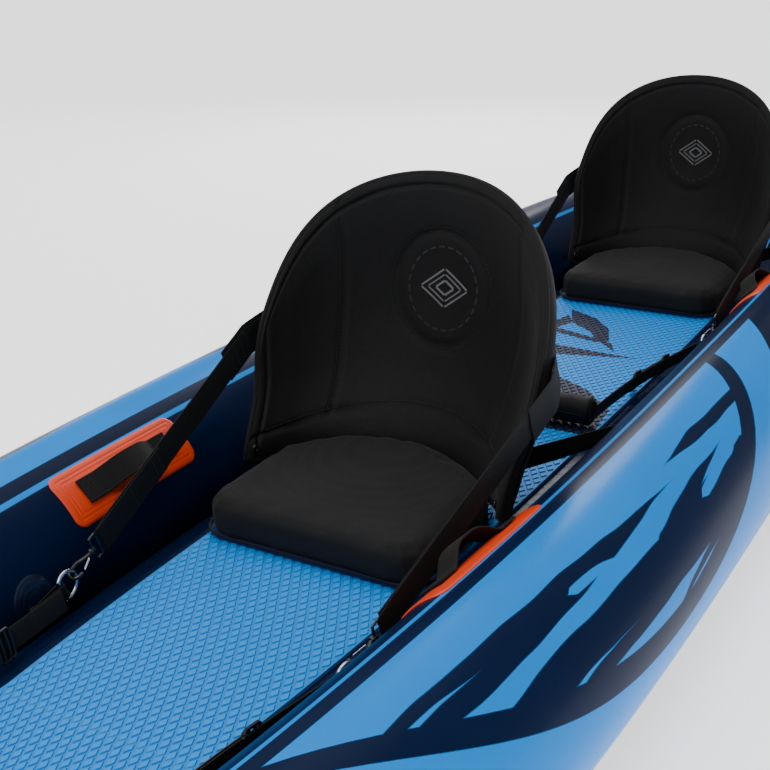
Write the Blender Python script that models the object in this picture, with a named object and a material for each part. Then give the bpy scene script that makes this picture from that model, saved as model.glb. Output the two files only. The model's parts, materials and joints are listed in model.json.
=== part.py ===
"""Two-seat inflatable kayak: air tubes, drop-stitch floor, strapped seats, foot rests and fittings.

Frame: metres, +Z up, bow towards -Y, port side +X. The origin is on the ground under mid-hull.
"""
import math

import bmesh
import bpy
from mathutils import Matrix, Vector

# Hull ---------------------------------------------------------------------------------------------
GAP = 0.0005  # clearance between parts that touch
HALF_BEAM = 0.450
TIP_HALF_BEAM = 0.110
TUBE_HALF_LENGTH = 2.120  # mid-hull to the start of a tube's round tip
PLAN_POWER = 3.146  # how late the sides curve in
TUBE_R = 0.1165
TIP_R = 0.050
TAPER_POWER = 5
TUBE_BOTTOM = 0.0055
ROCKER_START = 1.0
ROCKER_SPAN = 1.2
ROCKER_RISE = 0.160
ROCKER_POWER = 2.2
TUBE_SIDES = 20
TUBE_STATIONS = 37
TIP_ANGLES = [math.radians(angle) for angle in (25, 50, 72)]  # rings of a tube's round tip
FLOOR_T = 0.110
FLOOR_HALF_LENGTH = 1.780
FLOOR_NOSE = 0.080
FLOOR_NOSE_SHAPE = ((0, 0.45), (0.25, 0.75))  # share of the nose's length, share of full thickness
FLOOR_STATIONS = 25
FLOOR_LEAST_FLAT = 0.004
PAD_T = 0.006
PAD_HALF_WIDTH = 0.161
PAD_HALF_LENGTH = 1.350
PAD_TOP = FLOOR_T + GAP + PAD_T
DECK_START = 1.420
DECK_END = 2.080
DECK_T = 0.003
DECK_CROWN = 0.030
DECK_HUG = math.radians(70)  # where the deck meets the tube's top, and the same past it
DECK_LIFT = 3 * GAP
DECK_SHARES = (0.66, 0.33, 0, -0.33, -0.66)  # places across the deck between its tubes
DECK_STATIONS = 9
STEM_END = 2.200
STEM_SIDES = 12
# stem sections behind the tubes' tips: distance inboard of the tube's end, half height
STEM_TAIL = ((0.075, 0.022), (0.020, 0.045))
STEM_TAIL_SLIM = 0.7  # share of the room between the tubes that its first section fills
# nose sections: distance past the tubes' tips, half width, half height
STEM_NOSE = ((0.001, 0.040, 0.054), (0.010, 0.050, 0.050), (0.022, 0.036, 0.036))
STEM_TIP = (0.016, 0.018)
CARRY_ROOT = 0.130  # carry handle's roots and grip, inboard of the deck's end
CARRY_GRIP = 0.215
CARRY_CLEAR = 0.012
CARRY_HALF = 0.055
CARRY_CORNER = 0.018
CARRY_THICKNESS = (0.004, 0.004, 0.006, 0.010, 0.012, 0.010, 0.006, 0.004, 0.004)
CARRY_LEAST_WIDTH = 0.009
FIN_BOX_Y = 1.560
FIN_BOX_HALF_LENGTH = 0.075
FIN_BOX_HALF_WIDTH = 0.016
FIN_BOX_H = 0.010
FIN_BOX_WALL = 0.010
FIN_SLOT_HALF_WIDTH = 0.004
FIN_SLOT_DEPTH = 0.007

# Seats, places given for the front seat and repeated SEAT_PITCH further aft --------------------------
SEAT_PITCH = 1.151
SEAT_FRONT = -0.640
CUSHION_HALF_WIDTH = 0.165
CUSHION_T = 0.055
CUSHION_CORNER = 0.045
CUSHION_EDGE = 0.012
CUSHION_GAP = 0.008  # to the backrest, so that it can recline
SHELL_A = 0.189  # half width of the backrest's inner face
SHELL_B = 0.165  # how far its wings come forward
SHELL_T = 0.017
SHELL_WRAP = math.radians(80)
SHELL_LOW = 0.012  # heights over the pad
SHELL_WING_LOW = 0.040
SHELL_SHOULDER = 0.120
SHELL_TOP = 0.410
SHELL_CROWN_POWER = 2.05
SHELL_SLIM = 0.6  # share of its thickness left at the rim
FLARE_START = 0.060  # height over which the shell widens above the tubes
FLARE_SPAN = 0.160
FLARE_OUT = 0.020
FLARE_FORWARD = 0.030
BACK_LINE = ((0.00, 0.285), (0.06, 0.290), (0.14, 0.345), (0.22, 0.375), (0.30, 0.380), (0.41, 0.362))
HINGE_BACK = 0.325  # backrest hinge, aft of the cushion's front
HINGE_UP = 0.030
FRONT_STRAP_TURN = math.radians(80)  # where a front strap leaves the wing's outer face
FRONT_STRAP_UP = 0.186
FRONT_STRAP_CLEAR = 0.007

# Webbing and fittings -----------------------------------------------------------------------------
WEB_T = 0.0022
STRAP_W = 0.038
REAR_STRAP_W = 0.030
FOOT_STRAP_W = 0.026
RING_BACK = -0.196  # D-ring from the cushion's front, negative is towards the bow
RING_UP = 0.022
RING_OFF_TUBE = 0.012
RING_R = 0.0165
RING_WIRE = 0.0025
HOOK_WIRE = 0.0026
HOOK_BOW_R = 0.0085
EYE_TO_RING = 0.0440  # hook's eye to the ring wire that its bow holds
HOOK_SHANK = ((0, -0.006), (0, -0.016), (-0.004, -0.023), (-HOOK_BOW_R, -0.030))  # across, along the pull
GATE_PIVOT = (0.0032, -0.0185)
GATE_R = 0.0014
GATE_SHORT = 0.0034  # gate's tip, short of the bow's middle
STRAP_LAP = (0.066, 0.044, 0.022)  # stretch of a front strap sewn along the wing
STRAP_END = 0.004  # left between a strap's end and the hook's eye
TAB_W = 0.020
TAB_REACH = 0.030
TAB_TAIL = 0.016
TAB_DROP = 0.012
REAR_ANCHOR_BACK = 0.490
REAR_ANCHOR_UP = 0.036
REAR_STRAP_UP = 0.045
REAR_STRAP_CLEAR = 0.009
REAR_STRAP_TURNS = [math.radians(degrees) for degrees in (0, 12, 24, 36)]
REAR_STRAP_FEET = (-0.012, 0.012, 0.040)  # places on the tube from its anchor
FOOT_BACK = 0.565
ROLL_R = 0.022
ROLL_HALF_LENGTH = 0.150
ROLL_BEVEL = 0.003
FOOT_STRAP_START = (0.011, -0.010, -0.004)  # inboard, aft and up from the D-ring's bar
FOOT_STRAP_END = 0.008  # from the roll's end
FOOT_STRAP_SAG = 0.010
HANDLE_BACK = -0.025
PATCH_LENGTH = 0.230
PATCH_LOW = 0.47  # angle up the tube's inner side
PATCH_HIGH = 1.11
PATCH_T = 0.0016
PATCH_CORNER = 0.022
HANDLE_W = 0.033
HANDLE_SPAN = 0.165
HANDLE_RISE = 0.020
HANDLE_T = 0.0026
HANDLE_FOOT = 0.028  # sewn flat at each end of the arch
HANDLE_FOOT_GAP = 0.0014
VALVE_R = 0.024
VALVE_H = 0.008
VALVE_BORE = 0.011
VALVE_FLANGE_T = 0.0022
VALVE_HUB_R = 0.0185
VALVE_VENT_R = 0.0075
VALVE_FLOOR = 0.0012
VALVE_LIFT = 0.0008
VALVE_Y = 1.180
VALVE_ANGLE = math.radians(62)
FLOOR_VALVE_Y = 1.385
CAP_R = 0.017
CAP_T = 0.003
CAP_HINGE = 0.001
PIN_R = 0.0045
PIN_LENGTH = 0.003
SIDES = (("port", 1), ("starboard", -1))
SEATS = (("front", 0), ("rear", 1))
ENDS = (("bow", -1), ("stern", 1))

LIGHT_BLUE = (0.02, 0.40, 0.88)
PAD_BLUE = (0.04, 0.36, 0.74)
NAVY = (0.010, 0.022, 0.070)
ORANGE = (0.90, 0.12, 0.005)
BLACK = (0.012, 0.012, 0.013)
CHARCOAL = (0.022, 0.022, 0.023)
STEEL = (0.62, 0.63, 0.65)


# Mesh helpers -------------------------------------------------------------------------------------
def add_node(name, mesh_data, colour, roughness=0.5, metallic=0.0, origin=(0, 0, 0), crease=35):
    """Turn a bmesh given in world space into one named object with its own material."""
    bmesh.ops.triangulate(mesh_data, faces=[face for face in mesh_data.faces if len(face.verts) > 4])
    bmesh.ops.recalc_face_normals(mesh_data, faces=mesh_data.faces)
    bmesh.ops.translate(mesh_data, vec=-Vector(origin), verts=mesh_data.verts)
    mesh = bpy.data.meshes.new(name)
    mesh_data.to_mesh(mesh)
    mesh_data.free()
    mesh.shade_smooth()
    mesh.set_sharp_from_angle(angle=math.radians(crease))
    material = bpy.data.materials.new(name)
    material.use_nodes = True
    shader = material.node_tree.nodes["Principled BSDF"]
    shader.inputs["Base Color"].default_value = (*colour, 1)
    shader.inputs["Roughness"].default_value = roughness
    shader.inputs["Metallic"].default_value = metallic
    mesh.materials.append(material)
    item = bpy.data.objects.new(name, mesh)
    item.location = origin
    bpy.context.scene.collection.objects.link(item)
    return item


def loft(rings, closed=False):
    """Skin equal rings of points; open ends get a flat cap."""
    data = bmesh.new()
    rows = [[data.verts.new(point) for point in ring] for ring in rings]
    count = len(rings[0])
    pairs = list(zip(rows, rows[1:]))
    if closed:
        pairs.append((rows[-1], rows[0]))
    for row, other in pairs:
        for index in range(count):
            after = (index + 1) % count
            data.faces.new((row[index], row[after], other[after], other[index]))
    if not closed:
        data.faces.new(rows[0])
        data.faces.new(rows[-1])
    return data


def sheet(under, over):
    """Close two equal grids of points into one thin body."""
    data = bmesh.new()
    low = [[data.verts.new(point) for point in row] for row in under]
    high = [[data.verts.new(point) for point in row] for row in over]
    rows = len(low)
    columns = len(low[0])
    for row in range(rows - 1):
        for column in range(columns - 1):
            for grid in (low, high):
                corners = (grid[row][column], grid[row][column + 1])
                data.faces.new(corners + (grid[row + 1][column + 1], grid[row + 1][column]))
    rim = [(0, column) for column in range(columns)]
    rim += [(row, columns - 1) for row in range(1, rows)]
    rim += [(rows - 1, column) for column in range(columns - 2, -1, -1)]
    rim += [(row, 0) for row in range(rows - 2, 0, -1)]
    for index, (row, column) in enumerate(rim):
        next_row, next_column = rim[(index + 1) % len(rim)]
        corners = (low[row][column], low[next_row][next_column])
        data.faces.new(corners + (high[next_row][next_column], high[row][column]))
    return data


def tangents(points, closed=False):
    """Unit directions along a row of points."""
    count = len(points)
    result = []
    for index in range(count):
        before = points[index - 1] if closed or index else points[0]
        after = points[(index + 1) % count] if closed or index < count - 1 else points[-1]
        result.append((after - before).normalized())
    return result


def rod(points, radius, sides=6, closed=False):
    """Sweep a round bar along points; its frame is carried along so that it doesn't twist."""
    along = tangents(points, closed)
    normal = along[0].orthogonal().normalized()
    rings = []
    for point, direction in zip(points, along):
        normal = (normal - direction * normal.dot(direction)).normalized()
        binormal = direction.cross(normal)
        ring = []
        for side in range(sides):
            angle = 2 * math.pi * side / sides
            ring.append(point + radius * (normal * math.cos(angle) + binormal * math.sin(angle)))
        rings.append(ring)
    return loft(rings, closed)


def webbing(points, across, width, thickness=WEB_T):
    """Sweep a flat band along points; across gives its width direction at each of them."""
    rings = []
    for point, direction, side in zip(points, tangents(points), across):
        side = (side - direction * side.dot(direction)).normalized() * width / 2
        up = direction.cross(side).normalized() * thickness / 2
        rings.append([point - side - up, point + side - up, point + side + up, point - side + up])
    return loft(rings)


def turned(profile, frame, sides=20):
    """Turn a closed outline of (radius, height) points about the local Z of frame."""
    rings = []
    for side in range(sides):
        angle = 2 * math.pi * side / sides
        ring = [frame @ Vector((r * math.cos(angle), r * math.sin(angle), z)) for r, z in profile]
        rings.append(ring)
    return loft(rings, closed=True)


def disc(radius, low, high, frame, sides=20, bevel=0.0006):
    """Solid round plate with a small bevel on its upper edge."""
    rings = []
    for r, z in ((radius, low), (radius, high - bevel), (radius - bevel, high)):
        ring = []
        for side in range(sides):
            angle = 2 * math.pi * side / sides
            ring.append(frame @ Vector((r * math.cos(angle), r * math.sin(angle), z)))
        rings.append(ring)
    return loft(rings)


def spread(start, end, count):
    """Evenly spaced values, both ends included."""
    return [start + (end - start) * index / (count - 1) for index in range(count)]


def smooth_line(table, value):
    """Read a smooth curve through (position, value) pairs at one position."""
    for index in range(len(table) - 1):
        if value <= table[index + 1][0] or index == len(table) - 2:
            break
    points = [table[min(max(index + step, 0), len(table) - 1)] for step in (-1, 0, 1, 2)]
    (x0, y0), (x1, y1), (x2, y2), (x3, y3) = points
    slope_a = (y2 - y0) / (x2 - x0)
    slope_b = (y3 - y1) / (x3 - x1)
    step = x2 - x1
    t = min(max((value - x1) / step, 0), 1)
    rise = (3 - 2 * t) * t * t
    ease_a = t * (1 - t) ** 2 * step * slope_a
    ease_b = t * t * (t - 1) * step * slope_b
    return y1 + (y2 - y1) * rise + ease_a + ease_b


# Hull shape ---------------------------------------------------------------------------------------
def rocker(y):
    return ROCKER_RISE * (max(0, abs(y) - ROCKER_START) / ROCKER_SPAN) ** ROCKER_POWER


def half_beam(y):
    share = min(abs(y) / TUBE_HALF_LENGTH, 1)
    return TIP_HALF_BEAM + (HALF_BEAM - TIP_HALF_BEAM) * (1 - share ** PLAN_POWER)


def tube_section(y):
    """Centre (x, z) and radius of a side tube at y, before its round tip."""
    share = min(abs(y) / TUBE_HALF_LENGTH, 1)
    radius = TIP_R + (TUBE_R - TIP_R) * (1 - share ** TAPER_POWER)
    return half_beam(y) - radius, TUBE_BOTTOM + rocker(y) + radius, radius


def on_tube(side, y, angle, lift=0.0):
    """Point over a tube's skin; angle runs from its inner side over its top."""
    x, z, radius = tube_section(y)
    reach = radius + lift
    return Vector((side * (x - reach * math.cos(angle)), y, z + reach * math.sin(angle)))


def tube_frame(side, y, angle, lift=0.0):
    """Local frame on a tube's skin: Z outwards, Y along the hull, X round the tube."""
    step = 0.001
    along = (on_tube(side, y + step, angle) - on_tube(side, y - step, angle)).normalized()
    round_tube = on_tube(side, y, angle + step) - on_tube(side, y, angle - step)
    outward = along.cross(round_tube).normalized()
    if outward.dot(on_tube(side, y, angle, 0.01) - on_tube(side, y, angle)) < 0:
        outward.negate()
    across = along.cross(outward).normalized()
    axes = Matrix((across, along, outward)).transposed().to_4x4()
    return Matrix.Translation(on_tube(side, y, angle, lift)) @ axes


def floor_half_flat(y):
    """Half width of the floor's flat top, so that its round edge lies against the tube."""
    x, z, radius = tube_section(y)
    edge = FLOOR_T / 2
    apart = radius + edge + 2 * GAP
    drop = z - (edge + rocker(y))
    return x - math.sqrt(apart * apart - drop * drop)


def build_tubes():
    middle = spread(-TUBE_HALF_LENGTH, TUBE_HALF_LENGTH, TUBE_STATIONS)
    for name, side in SIDES:
        stations = []
        for angle in reversed(TIP_ANGLES):
            stations.append((-TUBE_HALF_LENGTH - TIP_R * math.sin(angle), math.cos(angle)))
        stations += [(y, 1) for y in middle]
        for angle in TIP_ANGLES:
            stations.append((TUBE_HALF_LENGTH + TIP_R * math.sin(angle), math.cos(angle)))
        rings = []
        for y, shrink in stations:
            x, z, radius = tube_section(min(max(y, -TUBE_HALF_LENGTH), TUBE_HALF_LENGTH))
            ring = []
            for step in range(TUBE_SIDES):
                angle = 2 * math.pi * step / TUBE_SIDES
                reach = radius * shrink
                ring.append(Vector((side * x - reach * math.cos(angle), y, z + reach * math.sin(angle))))
            rings.append(ring)
        add_node(f"{name}_side_tube", loft(rings), LIGHT_BLUE, 0.25)


def build_floor():
    edge = FLOOR_T / 2
    edge_angles = [math.radians(angle) for angle in (-90, -54, -18, 18, 54, 90)]
    nose = [(FLOOR_HALF_LENGTH - share * FLOOR_NOSE, fullness) for share, fullness in FLOOR_NOSE_SHAPE]
    body = FLOOR_HALF_LENGTH - FLOOR_NOSE
    stations = [(-y, fullness) for y, fullness in nose]
    stations += [(y, 1) for y in spread(-body, body, FLOOR_STATIONS)]
    stations += reversed(nose)
    rings = []
    for y, fullness in stations:
        flat = max(floor_half_flat(y), FLOOR_LEAST_FLAT)
        reach = edge * fullness
        middle = edge + rocker(y)
        ring = []
        for side in (1, -1):
            for angle in edge_angles[::side]:
                x = side * (flat + reach * math.cos(angle))
                ring.append(Vector((x, y, middle + reach * math.sin(angle))))
        rings.append(ring)
    add_node("air_floor", loft(rings), NAVY, 0.35)
    under = []
    over = []
    for y in spread(-PAD_HALF_LENGTH, PAD_HALF_LENGTH, FLOOR_STATIONS):
        half = PAD_HALF_WIDTH - (HALF_BEAM - half_beam(y))
        base = FLOOR_T + GAP + rocker(y) + DECK_LIFT * (abs(y) > ROCKER_START)
        under.append([Vector((x, y, base)) for x in (-half, 0, half)])
        over.append([Vector((x, y, base + PAD_T)) for x in (-half, 0, half)])
    add_node("deck_pad", sheet(under, over), PAD_BLUE, 0.7)


def deck_row(y, lift):
    """One cross row of an end deck: it hugs both tube tops and is crowned between them."""
    low = on_tube(1, y, DECK_HUG, lift)
    row = [on_tube(1, y, math.pi - DECK_HUG, lift), on_tube(1, y, math.pi / 2, lift), low]
    for share in DECK_SHARES:
        row.append(Vector((low.x * share, y, low.z + DECK_CROWN * (1 - share * share))))
    row += [Vector((-point.x, point.y, point.z)) for point in reversed(row[:3])]
    return row


def build_end(name, end):
    """Deck, stem and carry handle of one end of the hull."""
    rows = [end * y for y in spread(DECK_START, DECK_END, DECK_STATIONS)]
    under = [deck_row(y, DECK_LIFT) for y in rows]
    over = [deck_row(y, DECK_LIFT + DECK_T) for y in rows]
    add_node(f"{name}_deck", sheet(under, over), NAVY, 0.3)

    x, z, radius = tube_section(TUBE_HALF_LENGTH)
    inner = x - radius - 2 * GAP
    nose = TUBE_HALF_LENGTH + TIP_R + 2 * GAP
    (tail, tail_height), (neck, neck_height) = STEM_TAIL
    sections = [(TUBE_HALF_LENGTH - tail, inner * STEM_TAIL_SLIM, tail_height)]
    sections += [(TUBE_HALF_LENGTH - neck, inner, neck_height), (nose - 0.003, inner, TIP_R)]
    sections += [(nose + reach, half_width, half_height) for reach, half_width, half_height in STEM_NOSE]
    sections.append((STEM_END, *STEM_TIP))
    rings = []
    for y, half_width, half_height in sections:
        ring = []
        for step in range(STEM_SIDES):
            angle = 2 * math.pi * step / STEM_SIDES
            ring.append(Vector((half_width * math.cos(angle), end * y, z + half_height * math.sin(angle))))
        rings.append(ring)
    add_node(f"{name}_stem", loft(rings), BLACK, 0.5)
    build_carry_handle(name, end)


def build_carry_handle(name, end):
    """Webbing loop with a thicker grip, lying on the deck; it swings about the row at its roots."""
    root_y = end * (DECK_END - CARRY_ROOT)
    grip_y = end * (DECK_END - CARRY_GRIP)
    ridge = 3 + len(DECK_SHARES) // 2  # the deck row's middle point
    root_z = deck_row(root_y, DECK_T)[ridge].z + CARRY_CLEAR
    grip_z = deck_row(grip_y, DECK_T)[ridge].z + CARRY_CLEAR
    back = Vector((0, grip_y - root_y, grip_z - root_z))
    points = []
    for side in (1, -1):
        leg = [Vector((side * CARRY_HALF, root_y, root_z))]
        leg.append(leg[0] + back * 0.5)
        leg.append(leg[0] + back * 0.85)
        leg.append(leg[0] + back + Vector((-side * CARRY_CORNER, 0, 0)))
        points += leg[::side]
    middle = (points[3] + points[4]) / 2
    points.insert(4, middle)
    up = Vector((0, -back.z, back.y)).normalized() * (1 if back.y > 0 else -1)
    rings = []
    for point, direction, reach in zip(points, tangents(points), CARRY_THICKNESS):
        side = direction.cross(up).normalized() * max(reach, CARRY_LEAST_WIDTH)
        lift = up * reach * 0.6
        rings.append([point - side - lift, point + side - lift, point + side + lift, point - side + lift])
    add_node(f"{name}_handle", loft(rings), BLACK, 0.6, origin=(0, root_y, root_z))


# Fittings glued to the hull -----------------------------------------------------------------------
def glued_patch(side, y_mid, length, low, high, lift, thickness, corner, columns=9, rows=7):
    """Grids of a rounded patch that follows the tube, from its inner side at low to high."""
    radius = tube_section(y_mid)[2]
    arc = (high - low) * radius
    under = []
    over = []
    for row in range(rows):
        turn = -math.cos(math.pi * row / (rows - 1))
        from_edge = arc / 2 * (1 - abs(turn))
        inset = corner - math.sqrt(max(0, corner ** 2 - max(0, corner - from_edge) ** 2))
        angle = (low + high) / 2 + (high - low) / 2 * turn
        span = [y_mid + s * (length / 2 - inset) for s in spread(-1, 1, columns)]
        under.append([on_tube(side, y, angle, lift) for y in span])
        over.append([on_tube(side, y, angle, lift + thickness) for y in span])
    return under, over


def build_side_handle(name, side, y_mid):
    under, over = glued_patch(side, y_mid, PATCH_LENGTH, PATCH_LOW, PATCH_HIGH, GAP, PATCH_T,
                                PATCH_CORNER)
    add_node(f"{name}_handle_patch", sheet(under, over), ORANGE, 0.4)
    angle = (PATCH_LOW + PATCH_HIGH) / 2
    base = GAP + PATCH_T + GAP + WEB_T / 2
    arch = HANDLE_SPAN / 2 - HANDLE_FOOT
    offsets = [-HANDLE_SPAN / 2, *spread(-arch, arch, 9), HANDLE_SPAN / 2]
    points = []
    across = []
    for offset in offsets:
        share = min(abs(offset) / arch, 1)
        rise = HANDLE_RISE * (0.5 + 0.5 * math.cos(math.pi * share ** 1.6))
        lift = base + rise + HANDLE_FOOT_GAP * (share < 1)
        points.append(on_tube(side, y_mid + offset, angle, lift))
        across.append(tube_frame(side, y_mid + offset, angle).col[0].to_3d())
    add_node(f"{name}_handle", webbing(points, across, HANDLE_W, HANDLE_T), BLACK, 0.75)


def build_valve(name, frame):
    """Round inflation valve: flanged body, push pin in its bore, and a cap hinged at its edge."""
    frame = frame @ Matrix.Translation((0, 0, VALVE_LIFT))
    profile = ((VALVE_VENT_R, VALVE_FLOOR), (VALVE_VENT_R, 0), (VALVE_R, 0), (VALVE_R, VALVE_FLANGE_T),
               (VALVE_HUB_R, VALVE_H), (VALVE_BORE, VALVE_H), (VALVE_BORE, 2 * VALVE_FLOOR))
    add_node(f"{name}_valve", turned(profile, frame), BLACK, 0.5)
    pin_top = VALVE_H - GAP
    pin = disc(PIN_R, pin_top - PIN_LENGTH, pin_top, frame, sides=12)
    add_node(f"{name}_valve_pin", pin, LIGHT_BLUE, 0.4, origin=frame @ Vector((0, 0, VALVE_H)))
    hinge = frame @ Vector((CAP_R + CAP_HINGE, 0, VALVE_H + GAP + CAP_T / 2))
    cap = disc(CAP_R, VALVE_H + GAP, VALVE_H + GAP + CAP_T, frame)
    add_node(f"{name}_valve_cap", cap, NAVY, 0.45, origin=hinge)


def build_valves():
    for name, side in SIDES:
        build_valve(name, tube_frame(side, VALVE_Y, VALVE_ANGLE))
    step = 0.01
    slope = (rocker(FLOOR_VALVE_Y + step) - rocker(FLOOR_VALVE_Y - step)) / (2 * step)
    top = Vector((0, FLOOR_VALVE_Y, FLOOR_T + rocker(FLOOR_VALVE_Y)))
    frame = Matrix.Translation(top) @ Matrix.Rotation(math.atan(slope), 4, "X")
    build_valve("floor", frame)


def build_fin_box():
    """Slotted fin box glued under the floor where the keel line rises."""
    top = rocker(FIN_BOX_Y - FIN_BOX_HALF_LENGTH) - 2 * GAP
    bottom = top - FIN_BOX_H
    data = bmesh.new()
    bmesh.ops.create_cube(data, size=1)
    for vert in data.verts:
        x = vert.co.x * 2 * FIN_BOX_HALF_WIDTH
        y = FIN_BOX_Y + vert.co.y * 2 * FIN_BOX_HALF_LENGTH
        vert.co = Vector((x, y, bottom if vert.co.z < 0 else top))
    lower = [face for face in data.faces if face.normal.z < -0.9]
    bmesh.ops.inset_region(data, faces=lower, thickness=FIN_BOX_WALL)
    for vert in lower[0].verts:
        vert.co.x = math.copysign(FIN_SLOT_HALF_WIDTH, vert.co.x)
        vert.co.y = FIN_BOX_Y + math.copysign(FIN_BOX_HALF_LENGTH - FIN_BOX_WALL, vert.co.y - FIN_BOX_Y)
    deep = bmesh.ops.extrude_face_region(data, geom=lower)
    for vert in [item for item in deep["geom"] if isinstance(item, bmesh.types.BMVert)]:
        vert.co.z = bottom + FIN_SLOT_DEPTH
    bmesh.ops.delete(data, geom=lower, context="FACES")
    add_node("fin_box", data, BLACK, 0.5)


# Seats --------------------------------------------------------------------------------------------
def build_cushion(name, front):
    """Flat foam block with a straight front and a back that follows the backrest's curve."""
    a = CUSHION_HALF_WIDTH
    back = front + smooth_line(BACK_LINE, CUSHION_T / 2) - CUSHION_GAP
    outline = []
    for angle in spread(-90, 0, 4):
        turn = math.radians(angle)
        x = a - CUSHION_CORNER + CUSHION_CORNER * math.cos(turn)
        outline.append((x, front + CUSHION_CORNER + CUSHION_CORNER * math.sin(turn)))
    for reach in (1, 0.84, 0.65, 0.44, 0.22, 0):
        turn = math.asin(a / SHELL_A * reach)
        outline.append((a * reach, back - SHELL_B * (1 - math.cos(turn))))
    outline += [(-x, y) for x, y in reversed(outline[:-1])]
    centre_y = front + 0.16
    rings = []
    low = PAD_TOP + GAP
    for inset, z in ((CUSHION_EDGE, low), (0, low + CUSHION_EDGE), (0, low + CUSHION_T - CUSHION_EDGE),
                     (CUSHION_EDGE, low + CUSHION_T)):
        ring = []
        for x, y in outline:
            away = Vector((x, y - centre_y))
            away *= 1 - inset / away.length
            ring.append(Vector((away.x, centre_y + away.y, z)))
        rings.append(ring)
    add_node(f"{name}_seat_cushion", loft(rings), CHARCOAL, 0.9)


def shell_point(front, turn, height, outward):
    """Point of the backrest; turn runs round from the middle, height is over the pad."""
    share = min(max((height - FLARE_START) / FLARE_SPAN, 0), 1)
    flare = share * share * (3 - 2 * share)
    a = SHELL_A + FLARE_OUT * flare + outward
    b = SHELL_B + FLARE_FORWARD * flare + outward * 0.6
    middle = front + smooth_line(BACK_LINE, height) + outward
    return Vector((a * math.sin(turn), middle - b * (1 - math.cos(turn)), PAD_TOP + height))


def build_backrest(name, front):
    """Moulded foam shell that wraps round the sitter, with a round top and a low front edge."""
    shares = [math.sin(math.pi / 2 * share) for share in spread(-1, 1, 17)]
    rows = 11
    inner = []
    outer = []
    for row in range(rows):
        rise = math.sin(math.pi / 2 * row / (rows - 1)) ** 1.15
        inner_row = []
        outer_row = []
        for share in shares:
            turn = SHELL_WRAP * share
            crown = math.sqrt(max(0, 1 - abs(share) ** SHELL_CROWN_POWER))
            top = SHELL_SHOULDER + (SHELL_TOP - SHELL_SHOULDER) * crown
            bottom = SHELL_LOW + (SHELL_WING_LOW - SHELL_LOW) * share ** 4
            height = bottom + (top - bottom) * rise
            from_rim = min(1 - rise, 1 - abs(share))
            thickness = SHELL_T * min(1, SHELL_SLIM + 3 * from_rim)
            inner_row.append(shell_point(front, turn, height, 0))
            outer_row.append(shell_point(front, turn, height, thickness))
        inner.append(inner_row)
        outer.append(outer_row)
    hinge = (0, front + HINGE_BACK, PAD_TOP + HINGE_UP)
    add_node(f"{name}_backrest", sheet(inner, outer), BLACK, 0.8, origin=hinge)


def strap_line(front, side):
    """Root on the backrest's wing, and hook eye, of one front strap."""
    root = shell_point(front, side * FRONT_STRAP_TURN, FRONT_STRAP_UP, SHELL_T + FRONT_STRAP_CLEAR)
    ring = ring_centre(front, side)
    pull = (root - ring).normalized()
    return root, ring + pull * (RING_R + EYE_TO_RING), pull


def ring_centre(front, side):
    """Middle of the D-ring, held off the tube by its tab."""
    y = front + RING_BACK
    x = tube_section(y)[0] - tube_section(y)[2]
    return Vector((side * (x - RING_OFF_TUBE), y, PAD_TOP + RING_UP))


def build_front_strap(name, front, side):
    root, eye, pull = strap_line(front, side)
    end = eye + pull * STRAP_END
    points = []
    for back in STRAP_LAP:
        turn = FRONT_STRAP_TURN - back / SHELL_A
        rise = back * pull.z / pull.y
        points.append(shell_point(front, side * turn, FRONT_STRAP_UP + rise, SHELL_T + FRONT_STRAP_CLEAR))
    points += [root + (end - root) * share for share in spread(0, 1, 6)]
    across = Vector((0, pull.z, -pull.y))
    add_node(f"{name}_front_strap", webbing(points, [across] * len(points), STRAP_W), BLACK, 0.8)


def build_hook(name, front, side):
    """Snap hook: a swivel eye, a shank and a bow round the D-ring, closed by a sprung gate."""
    _, eye, pull = strap_line(front, side)
    up = Vector((0, pull.z, -pull.y)).normalized()
    if up.z < 0:
        up.negate()
    out = pull.cross(up) * -side
    frame = Matrix((out, up, pull)).transposed().to_4x4()
    frame = Matrix.Translation(eye) @ frame
    bow_z = 0.002 - EYE_TO_RING
    outline = list(HOOK_SHANK)
    for angle in range(0, 181, 30):
        turn = math.radians(angle)
        outline.append((-HOOK_BOW_R * math.cos(turn), bow_z - HOOK_BOW_R * math.sin(turn)))
    points = [frame @ Vector((x, 0, z)) for x, z in outline]
    add_node(f"{name}_hook", rod(points, HOOK_WIRE, 8), BLACK, 0.4, 0.3, origin=eye)
    pivot = frame @ Vector((GATE_PIVOT[0], 0, GATE_PIVOT[1]))
    tip = frame @ Vector((HOOK_BOW_R, 0, bow_z + GATE_SHORT))
    toward = (tip - pivot).normalized()
    gate = [pivot + toward * (GAP + step) for step in spread(0, (tip - pivot).length - GAP, 3)]
    add_node(f"{name}_hook_gate", rod(gate, GATE_R, 6), STEEL, 0.3, 1.0, origin=pivot)


def ring_frame(front, side):
    """Middle of the D-ring's straight bar, the pull on it, and the bar's direction."""
    _, _, pull = strap_line(front, side)
    bar = Vector((0, -pull.z, pull.y)).normalized()
    return ring_centre(front, side) - pull * RING_R / 2, pull, bar


def build_ring(name, front, side):
    """Welded D-ring through the bow of the hook."""
    middle, pull, bar = ring_frame(front, side)
    centre = ring_centre(front, side)
    points = []
    for angle in range(-120, 121, 24):
        turn = math.radians(angle)
        points.append(centre + RING_R * (pull * math.cos(turn) + bar * math.sin(turn)))
    points.append(middle)
    add_node(f"{name}_ring", rod(points, RING_WIRE, 8, closed=True), STEEL, 0.2, 1.0, origin=middle)


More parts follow.
